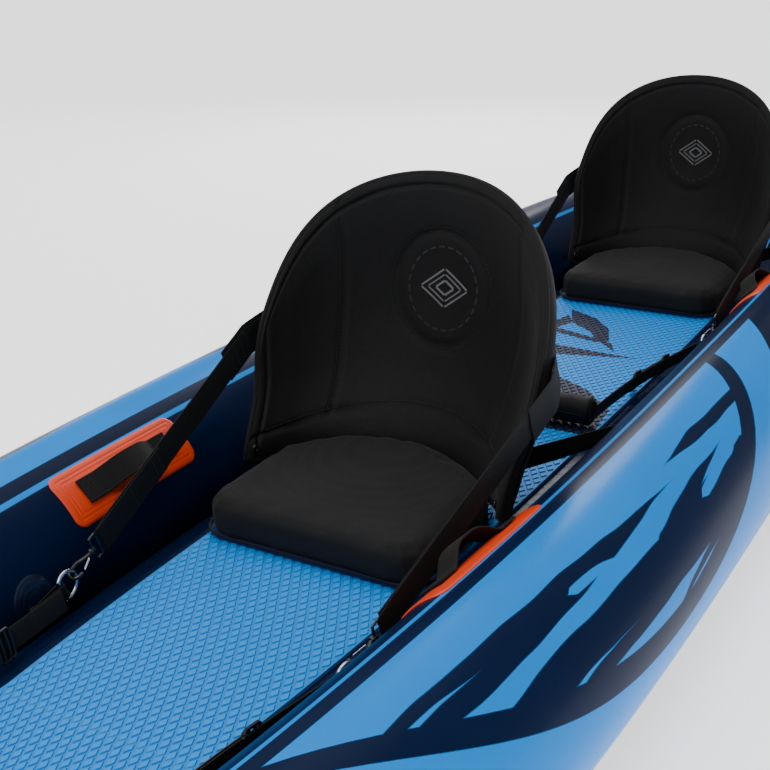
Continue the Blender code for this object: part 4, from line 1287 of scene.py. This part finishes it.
def build_wing_flaps(shell, materials):
    """Padded flap on each wing's outer face, and a grommet at each lower corner."""
    seat = shell.seat
    for name, side in SIDES:
        under = []
        over = []
        for row in range(13):
            up = row / 12
            line_low = []
            line_high = []
            for column in range(15):
                way = column / 14
                turn = math.radians(46 + 30 * way)
                lower = 0.052 + 0.026 * (1 - way) ** 2
                upper = 0.150 + 0.060 * way
                height = lower + (upper - lower) * up
                edge = min(min(way, 1 - way) * 0.10, min(up, 1 - up) * 0.12)
                swell = 0.0026 * min(1, edge / 0.012) ** 0.5
                base = SHELL_T + 0.0003
                line_low.append(shell.point(side * turn, height, base))
                line_high.append(shell.point(side * turn, height, base + 0.0006 + swell))
            under.append(line_low)
            over.append(line_high)
        flap = link(f"{seat}_{name}_wing_flap", sheet(under, over), materials["back_fabric"], smooth=70)
        ready(flap, f"{seat}_back", "backrest_fabric")
        grommet = shell.place(side * SHELL_WRAP * 0.955, SHELL_WING_LOW + 0.014, -0.0020)
        profile = ((0.0026, 0), (0.0050, 0), (0.0056, 0.0010), (0.0050, 0.0021), (0.0034, 0.0024),
                   (0.0026, 0.0018))
        ready(link(f"{seat}_{name}_grommet", turned(profile, grommet, 28), materials["hook"]),
              f"{seat}_back", "black_plastic")


def simulate(item, pressure, cap, voxel=0.005):
    """Puff a closed cover with cloth, let no point go further than cap, and smooth it once."""
    remesh = item.modifiers.new("remesh", "REMESH")
    remesh.mode = "VOXEL"
    remesh.voxel_size = voxel
    with bpy.context.temp_override(object=item, active_object=item, selected_objects=[item]):
        bpy.ops.object.modifier_apply(modifier=remesh.name)
    rest = [vert.co.copy() for vert in item.data.vertices]
    cloth = item.modifiers.new("cloth", "CLOTH")
    settings = cloth.settings
    settings.use_pressure = True
    settings.uniform_pressure_force = pressure
    settings.effector_weights.gravity = 0
    settings.mass = 0.3
    settings.tension_stiffness = 15
    settings.compression_stiffness = 15
    settings.bending_stiffness = 0.6
    for number in range(1, 21):
        bpy.context.scene.frame_set(number)
    graph = bpy.context.evaluated_depsgraph_get()
    shape = item.evaluated_get(graph).to_mesh()
    moved = [vert.co.copy() for vert in shape.vertices]
    item.evaluated_get(graph).to_mesh_clear()
    item.modifiers.remove(cloth)
    bpy.context.scene.frame_set(1)
    for vert, start, stop in zip(item.data.vertices, rest, moved):
        step = stop - start
        if step.length > cap:
            step *= cap / step.length
        vert.co = start + step
    item.data.shade_smooth()


def build_cushion(shell, materials):
    """Seat cushion: inflated cover with a crowned top, a sewn border and a flat base."""
    seat = shell.seat
    node = NODES[f"{seat}_seat_cushion"]
    low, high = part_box(node.name)
    centre = (low + high) / 2
    data = bmesh.new()
    data.from_mesh(node.data)
    bmesh.ops.remove_doubles(data, verts=data.verts, dist=0.00005)
    for vert in data.verts:
        away = vert.co - Vector((centre.x, centre.y, low.z))
        vert.co = Vector((centre.x, centre.y, low.z)) + Vector(a * b for a, b in zip(away, CUSHION_SHRINK))
    cushion = link(f"{seat}_cushion_cover", data, materials["cushion"], smooth=80)
    crown_cushion(cushion, low, high)
    simulate(cushion, 4.0, 0.0045)
    for vert in cushion.data.vertices:
        vert.co.z = max(vert.co.z, low.z)
    subdivide(cushion, 1)
    ready(cushion, "hull", "cushion_fabric", f"{seat}_seat_cushion")
    build_cushion_seams(shell, low, materials)


def crown_cushion(cushion, low, high):
    """Divide the cover finely and raise its top towards the middle of its back."""
    data = bmesh.new()
    data.from_mesh(cushion.data)
    bmesh.ops.connect_verts_concave(data, faces=[face for face in data.faces if len(face.verts) > 4])
    bmesh.ops.triangulate(data, faces=[face for face in data.faces if len(face.verts) > 4])
    bmesh.ops.subdivide_edges(data, edges=data.edges, cuts=3, use_grid_fill=True)
    half = high.x
    middle = low.z + (high.z - low.z) * 0.6
    for vert in data.verts:
        if vert.co.z > middle:
            along = min(max((vert.co.y - low.y) / (high.y - low.y), 0), 1)
            rise = (1 - (vert.co.x / half) ** 2) * math.sin(math.pi / 2 * min(1, along * 1.25))
            vert.co.z += CUSHION_CROWN * max(0, rise)
    data.to_mesh(cushion.data)
    data.free()


def cushion_outline(shell, inset):
    """Closed plan outline of the cushion, drawn in from its edge, as points (x, y)."""
    a = CUSHION_HALF - inset
    corner = CUSHION_CORNER - inset
    front = shell.front + inset
    back = shell.front + smooth_line(BACK_LINE, CUSHION_MIDDLE_UP) - CUSHION_GAP - inset
    line = []
    for turn in spread(-math.pi / 2, 0, 12):
        line.append((a - corner + corner * math.cos(turn), front + corner + corner * math.sin(turn)))
    for reach in spread(1, 0, 20)[1:]:
        turn = math.asin(a / SHELL_A * reach)
        line.append((a * reach, back - SHELL_B * (1 - math.cos(turn))))
    line += [(-x, y) for x, y in reversed(line[:-1])]
    return line


def build_cushion_seams(shell, low, materials):
    """Sewn seam round the cushion just above its base, and a navy band round its bottom edge."""
    seat = shell.seat
    seam = [Vector((x, y, low.z + 0.0075)) for x, y in cushion_outline(shell, 0.0030)]
    seam = smooth_path(seam + seam[:1], 2)[:-1]
    cord = link(f"{seat}_cushion_seam", rod(seam, 0.0013, 8, closed=True), materials["binding"])
    ready(cord, "hull", "cushion_fabric")
    rim = cushion_outline(shell, 0.0075)
    lower = [Vector((x, y, low.z - 0.0001)) for x, y in rim]
    upper = [Vector((x, y, low.z + 0.0045)) for x, y in cushion_outline(shell, 0.0045)]
    base = link(f"{seat}_cushion_base", loft([lower, upper]), materials["navy_fabric"])
    ready(base, "hull", "cushion_fabric")


def ladder_lock(place, width):
    """Two-bar sliding buckle: a frame with a raised middle bar, about the local X and Y of place."""
    half_w = width / 2 + 0.004
    half_l = 0.011
    outline = []
    for x, y in ((half_w, -half_l + 0.003), (half_w, half_l - 0.003), (half_w - 0.003, half_l),
                 (-half_w + 0.003, half_l), (-half_w, half_l - 0.003), (-half_w, -half_l + 0.003),
                 (-half_w + 0.003, -half_l), (half_w - 0.003, -half_l)):
        outline.append(place @ Vector((x, y, 0)))
    bars = [rod(outline, 0.0021, 8, closed=True)]
    for y, lift in ((-0.0035, 0.0018), (0.0045, 0.0004)):
        bars.append(rod([place @ Vector((-half_w, y, lift * 0.3)), place @ Vector((0, y, lift)),
                         place @ Vector((half_w, y, lift * 0.3))], 0.0019, 8))
    lip = [place @ Vector((x, half_l + 0.0035, 0.0030)) for x in spread(-half_w * 0.8, half_w * 0.8, 5)]
    bars.append(rod(lip, 0.0016, 8))
    return merge(*bars)


def face_place(point, way, across):
    """Frame at a point of a band: Y along it, X across it."""
    way = way.normalized()
    across = (across - way * across.dot(way)).normalized()
    axes = Matrix((across, way, across.cross(way))).transposed().to_4x4()
    return Matrix.Translation(point) @ axes


def build_front_strap(shell, name, side, eye, pull, materials):
    """Band from the wing's outer face to the hook: a wide sewn tab and a doubled lower run."""
    rise_rate = pull.z / pull.y
    root = shell.point(side * SHELL_WRAP, ROOT_UP, SHELL_T + 0.0070)
    across = Vector((0, pull.z, -pull.y))
    path = []
    for back in spread(ROOT_REACH, 0.0, 9)[:-1]:
        clear = SHELL_T + 0.0022 + 0.0048 * (1 - back / ROOT_REACH)
        turn = side * (SHELL_WRAP - back / SHELL_A)
        path.append(shell.point(turn, ROOT_UP + back * rise_rate, clear))
    end = eye + pull * 0.0052
    run = end - root
    path += [root + run * share for share in spread(0, 1, 40)]
    lap = len(path) - 40
    widths = [0.038] * (lap + 37) + [0.036, 0.034, 0.032]
    pieces = [("strap", band(path, across, widths), "webbing")]
    inward = across.cross(pull).normalized()
    if inward.x * side > 0:
        inward.negate()
    # sewn tab at the wing, wider than the band
    tab = [point - inward * (WEB_T + 0.0002) for point in path[1:lap + 7]]
    pieces.append(("strap_tab", band(tab, across, 0.050, 0.0020), "webbing"))
    # the band's end, folded back through the hook and sewn down
    back = [root + run * share + inward * (WEB_T + 0.0003) for share in spread(0.62, 0.985, 24)]
    pieces.append(("strap_return", band(back, across, 0.036, 0.0019), "webbing"))
    marks = []
    rows = ((0.008, 0.0013), (0.050, 0.0013), (0.092, 0.0013), (0.64, 0.0036), (0.67, 0.0036),
            (0.80, 0.0036))
    for share, lift in rows:
        for offset in spread(-0.015, 0.015, 10):
            spot = face_place(root + run * share + inward * lift, run, across)
            marks.append(stitch(spot, Vector((offset, 0, 0)), Vector((1, 0, 0))))
    pieces.append(("strap_stitches", merge(*marks), "thread"))
    for word, mesh, kind in pieces:
        piece = link(f"{name}_{word}", mesh, materials[kind])
        if word == "strap":
            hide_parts(f"{name}_front_strap")
        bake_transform(piece)


def stitch(place, middle, way, length=0.0024, radius=0.00040):
    """One thread mark lying on the local XY plane of place."""
    reach = way * length / 2
    points = (middle - reach, middle + Vector((0, 0, 0.0003)), middle + reach)
    return rod([place @ point for point in points], radius, 5)


def build_rear_strap(shell, materials):
    """One band round the back of the shell, tied down to a welded patch on each tube."""
    seat = shell.seat
    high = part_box(f"{seat}_rear_strap")[1]
    up_at = 0.045
    clear = SHELL_T + 0.009
    half = []
    across = []
    for turn in [math.radians(degrees) for degrees in spread(0, 36, 10)]:
        half.append(shell.point(turn, up_at, clear))
        across.append(shell.point(turn, up_at + 0.015, clear) - shell.point(turn, up_at - 0.015, clear))
    anchor_y = high.y - 0.040
    height = PAD_TOP + 0.036
    for y in (anchor_y - 0.012, anchor_y + 0.012, anchor_y + 0.040):
        _, z, radius = tube_section(y)
        angle = math.asin((height - z) / radius)
        half.append(on_tube(1, y, angle, 0.0015 + WEB_T / 2))
        across.append(on_tube(1, y, angle + 0.1) - on_tube(1, y, angle - 0.1))
    fine = smooth_path(half, 5)
    sides = smooth_path(across, 5)
    path = [Vector((-p.x, p.y, p.z)) for p in reversed(fine[1:])] + fine
    ways = [Vector((-p.x, p.y, p.z)) for p in reversed(sides[1:])] + sides
    strap = link(f"{seat}_back_strap", band(path, ways, 0.030), materials["webbing"])
    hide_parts(f"{seat}_rear_strap")
    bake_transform(strap)
    pads = []
    for _, side in SIDES:
        y = anchor_y + 0.020
        _, z, radius = tube_section(y)
        angle = math.asin((height - z) / radius)
        grid_low = []
        grid_high = []
        for row in spread(-1, 1, 13):
            line_low = []
            line_high = []
            for column in spread(-1, 1, 17):
                inset = 0.008 * max(0, abs(row) - 0.6) ** 2
                rim = min(1, 6 * (1 - max(abs(row), abs(column))))
                spot_y = y + column * (0.034 - inset)
                spot = angle + row * 0.026 / radius
                line_low.append(on_tube(side, spot_y, spot, 0.0002))
                line_high.append(on_tube(side, spot_y, spot, 0.0003 + 0.0008 * rim))
            grid_low.append(line_low)
            grid_high.append(line_high)
        pads.append(sheet(grid_low, grid_high))
    patches = link(f"{seat}_back_strap_patches", merge(*pads), materials["navy_rubber"], smooth=60)
    ready(patches, "hull", "deck_pvc")


def build_foot_rest(shell, materials, rings):
    """Foam roll in a sewn sleeve, and its two bands with sliding buckles."""
    seat = shell.seat
    low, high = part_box(f"{seat}_foot_roll")
    centre = (low + high) / 2
    radius = (high.z - low.z) / 2
    half = (high.x - low.x) / 2
    profile = []
    for step in spread(0, 1, 8):
        turn = step * math.pi / 2
        profile.append((radius - 0.006 + 0.006 * math.sin(turn), -half + 0.006 * (1 - math.cos(turn))))
    body = [(0.010, -half + 0.0012), (radius - 0.008, -half)] + profile[1:]
    for z in spread(-half + 0.012, half - 0.012, 41):
        body.append((radius - 0.0004 * (1 + math.cos(z * 2 * math.pi / 0.045)), z))
    body += [(r, -z) for r, z in reversed(profile[1:])] + [(radius - 0.008, half), (0.010, half - 0.0012)]
    place = Matrix.Translation(centre) @ Matrix.Rotation(math.pi / 2, 4, "Y")
    sleeve = link(f"{seat}_roll_sleeve", stack(body, place, 48), materials["roll"], smooth=50)
    ready(sleeve, f"{seat}_foot_roll", "roll_foam", f"{seat}_foot_roll")
    ends = []
    for side in (-1, 1):
        reach = radius - 0.0058
        z = side * (half + 0.0002)
        ring = [Vector((reach * math.cos(turn), reach * math.sin(turn), z)) for turn in round_turns(48)]
        ends.append(rod([place @ point for point in ring], 0.0011, 6, closed=True))
    seam = [place @ Vector((-0.0003, -radius - 0.0002, z)) for z in spread(-half + 0.008, half - 0.008, 20)]
    ends.append(rod(seam, 0.0009, 6))
    ready(link(f"{seat}_roll_seams", merge(*ends), materials["binding"]), f"{seat}_foot_roll", "roll_foam")
    for name, side in SIDES:
        middle = rings[f"{seat}_{name}"][0]
        start = middle + Vector((-side * 0.011, -0.010, -0.004))
        end = Vector((side * (half + 0.004), centre.y, centre.z))
        sag = []
        for share in spread(0, 1, 30):
            point = start.lerp(end, share)
            point.x -= side * 0.010 * math.sin(math.pi * share)
            sag.append(point)
        across = Vector((side * 0.25, 0, 1))
        strap = link(f"{seat}_{name}_foot_band", band(sag, across, 0.0255), materials["webbing"])
        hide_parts(f"{seat}_{name}_foot_strap")
        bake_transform(strap)
        locks = []
        for share in (0.30, 0.56):
            index = int(share * 29)
            way = sag[index + 1] - sag[index - 1]
            spot = sag[index] + Vector((-side * 0.0030, 0, 0))
            locks.append(ladder_lock(face_place(spot, way, across), 0.0255))
        doubled = [point + Vector((-side * 0.0030, 0, 0.0005)) for point in sag[9:17]]
        locks.append(band(doubled, across, 0.0245, 0.0018))
        lock = link(f"{seat}_{name}_foot_buckles", merge(*locks), materials["rubber"])
        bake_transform(lock)


def build_valves(materials):
    """Finer valve bodies, caps with finger ribs and push pins."""
    for name in ("port", "starboard", "floor"):
        cap_joint = JOINTS[f"{name}_cap_flip"]
        pin_joint = JOINTS[f"{name}_pin_push"]
        up = Vector(pin_joint["axis"]).normalized()
        low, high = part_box(f"{name}_valve_pin")
        pin_at = (low + high) / 2
        hinge = Vector(cap_joint["pos_m"])
        flat = hinge - pin_at
        flat = (flat - up * flat.dot(up)).normalized()
        place = Matrix((flat, up.cross(flat), up)).transposed().to_4x4()
        place = Matrix.Translation(pin_at - up * 0.0060) @ place
        body = ((0.0075, 0.0012), (0.0075, 0.0001), (0.0236, 0.0001), (0.0240, 0.0008), (0.0240, 0.0018),
                (0.0232, 0.0023), (0.0205, 0.0027), (0.0192, 0.0034), (0.0186, 0.0072), (0.0178, 0.0079),
                (0.0120, 0.0079), (0.0111, 0.0073), (0.0111, 0.0026))
        ready(link(f"{name}_valve_body", turned(body, place, 48), materials["valve"], smooth=40),
              "hull", "valve_plastic", f"{name}_valve")
        pin = ((0.0010, 0.0046), (0.0044, 0.0046), (0.0044, 0.0072), (0.0038, 0.0075), (0.0016, 0.0073))
        ready(link(f"{name}_push_pin", stack(pin, place, 28), materials["pin"], smooth=40),
              f"{name}_pin", "pin_plastic", f"{name}_valve_pin")
        lid = ((0.0020, 0.0087), (0.0160, 0.0087), (0.0168, 0.0092), (0.0168, 0.0106), (0.0160, 0.0114),
               (0.0120, 0.0112), (0.0112, 0.0107), (0.0050, 0.0107), (0.0040, 0.0113), (0.0010, 0.0114))
        parts = [stack(lid, place, 56)]
        for step in range(18):
            turn = 2 * math.pi * (step + 0.5) / 18
            foot = place @ Vector((0.0166 * math.cos(turn), 0.0166 * math.sin(turn), 0.0092))
            head = place @ Vector((0.0160 * math.cos(turn), 0.0160 * math.sin(turn), 0.0111))
            parts.append(rod([foot, head], 0.0006, 6))
        ready(link(f"{name}_screw_cap", merge(*parts), materials["valve"], smooth=40),
              f"{name}_cap", "valve_plastic", f"{name}_valve_cap")


# Stage ----------------------------------------------------------------------------------------------
CAMERA_AT = (0.7465, -1.6773, 0.8339)
CAMERA_YAW = 0.540534
CAMERA_PITCH = 0.364983
CAMERA_ROLL = -0.022396
CAMERA_LENS = 56.12
FLOOR_HALF = 14
FLOOR_GLOW = 1.30
WORLD_GLOW = 0.34
SUN_POWER = 1.5
SUN_SPREAD = math.radians(70)
SUN_FROM = (-1.2, 0.6, 3.0)
# name, place, size and power of each light panel
PANELS = (("key", (0.4, -3.0, 3.2), 2.0, 60), ("back", (-1.8, 3.3, 1.9), 1.3, 46))


def build_camera():
    """Camera over the port bow, looking down and aft across both seats."""
    look = Vector((-math.sin(CAMERA_YAW) * math.cos(CAMERA_PITCH),
                   math.cos(CAMERA_YAW) * math.cos(CAMERA_PITCH), -math.sin(CAMERA_PITCH)))
    right = Vector((math.cos(CAMERA_YAW), math.sin(CAMERA_YAW), 0))
    up = right.cross(look)
    c, s = math.cos(CAMERA_ROLL), math.sin(CAMERA_ROLL)
    axes = Matrix((c * right + s * up, -s * right + c * up, -look)).transposed().to_4x4()
    camera = bpy.data.objects.new("camera", bpy.data.cameras.new("camera"))
    camera.data.lens = CAMERA_LENS
    camera.data.sensor_width = 36
    camera.data.clip_start = 0.02
    camera.matrix_world = Matrix.Translation(CAMERA_AT) @ axes
    bpy.context.scene.collection.objects.link(camera)
    bpy.context.scene.camera = camera


def build_stage():
    """Pale floor, pale surroundings and soft lights."""
    data = bmesh.new()
    bmesh.ops.create_grid(data, x_segments=1, y_segments=1, size=FLOOR_HALF)
    n = Nodes("studio_floor")
    grain = n.noise(n.place(), 5.0, 3.0)
    shade = n.mix(grain, (0.86, 0.86, 0.86), (0.90, 0.90, 0.90))
    surface = n.finish(shade, 0.9, Emission_Color=(1, 1, 1, 1), Emission_Strength=FLOOR_GLOW)
    floor = link("studio_floor", data, surface)
    world = bpy.data.worlds.new("studio")
    bpy.context.scene.world = world
    world.use_nodes = True
    background = world.node_tree.nodes["Background"]
    background.inputs[0].default_value = (1.0, 1.0, 1.0, 1)
    background.inputs[1].default_value = WORLD_GLOW
    sun = bpy.data.lights.new("sky", "SUN")
    sun.energy = SUN_POWER
    sun.angle = SUN_SPREAD
    lights = [(sun, SUN_FROM)]
    for name, place, size, power in PANELS:
        light = bpy.data.lights.new(name, "AREA")
        light.energy = power
        light.size = size
        lights.append((light, place))
    for light, place in lights:
        item = bpy.data.objects.new(light.name, light)
        item.location = place
        aim = Vector((0, 0, 0.2)) - Vector(place)
        item.rotation_euler = aim.to_track_quat("-Z", "Y").to_euler()
        bpy.context.scene.collection.objects.link(item)


def build_materials():
    return {
        "tube": tube_skin(),
        "floor": coated_fabric("floor_skin", NAVY),
        "deck": coated_fabric("deck_skin", NAVY, 0.28),
        "pad": pad_foam(),
        "patch": patch_rubber(),
        "webbing": woven("black_webbing", BLACK),
        "thread": woven("black_thread", (0.034, 0.034, 0.035), 0.0005, 0.00005),
        "binding": woven("binding_tape", (0.0045, 0.0045, 0.0047), 0.0009, 0.00012, 1.4),
        "cushion": padded_fabric("cushion_cover", CHARCOAL, 0.0016),
        "back_fabric": padded_fabric("backrest_cover", (0.0050, 0.0050, 0.0052), 0.0015, 0.62),
        "navy_fabric": padded_fabric("navy_base", (0.004, 0.022, 0.110), 0.0016),
        "roll": padded_fabric("roll_sleeve", (0.0065, 0.0065, 0.0067), 0.0014, 0.7),
        "rubber": moulded("black_rubber", (0.0065, 0.0065, 0.0068), 0.42),
        "navy_rubber": moulded("navy_rubber", tuple(c * 0.9 for c in NAVY), 0.36, coat=0.1),
        "valve": moulded("valve_plastic", (0.014, 0.015, 0.018), 0.40),
        "pin": moulded("pin_plastic", (0.02, 0.30, 0.66), 0.35),
        "hook": moulded("hook_black", (0.0075, 0.0075, 0.008), 0.27, coat=0.3),
        "steel": moulded("steel_wire", (0.62, 0.63, 0.65), 0.22, metal=1.0, grain=0.00003),
        "print": moulded("badge_print", (0.16, 0.16, 0.165), 0.5),
    }


def main():
    build_camera()
    build_stage()
    materials = build_materials()
    build_tubes(materials["tube"])
    build_pad(materials["pad"])
    for node, kind in (("air_floor", "floor"), ("fin_box", "rubber")):
        NODES[node].data.materials.clear()
        NODES[node].data.materials.append(materials[kind])
    for name, end in ENDS:
        build_end(name, end, materials)
        build_stem(name, end, materials["rubber"])
        build_carry_handle(name, end, materials)
    for seat in SEATS:
        shell = Shell(seat)
        rings = {}
        for word, side in SIDES:
            name = f"{seat}_{word}"
            build_side_handle(name, side, materials)
            rings[name] = build_ring(name, materials)
            build_ring_patch(name, side, rings[name][0].y - RING_PATCH_BACK, materials)
            build_ring_tab(name, side, *rings[name], materials)
            eye, pull = build_hook(name, side, materials)
            build_front_strap(shell, name, side, eye, pull, materials)
        build_backrest(shell, materials)
        build_cushion(shell, materials)
        build_rear_strap(shell, materials)
        build_foot_rest(shell, materials, rings)
    build_valves(materials)


main()
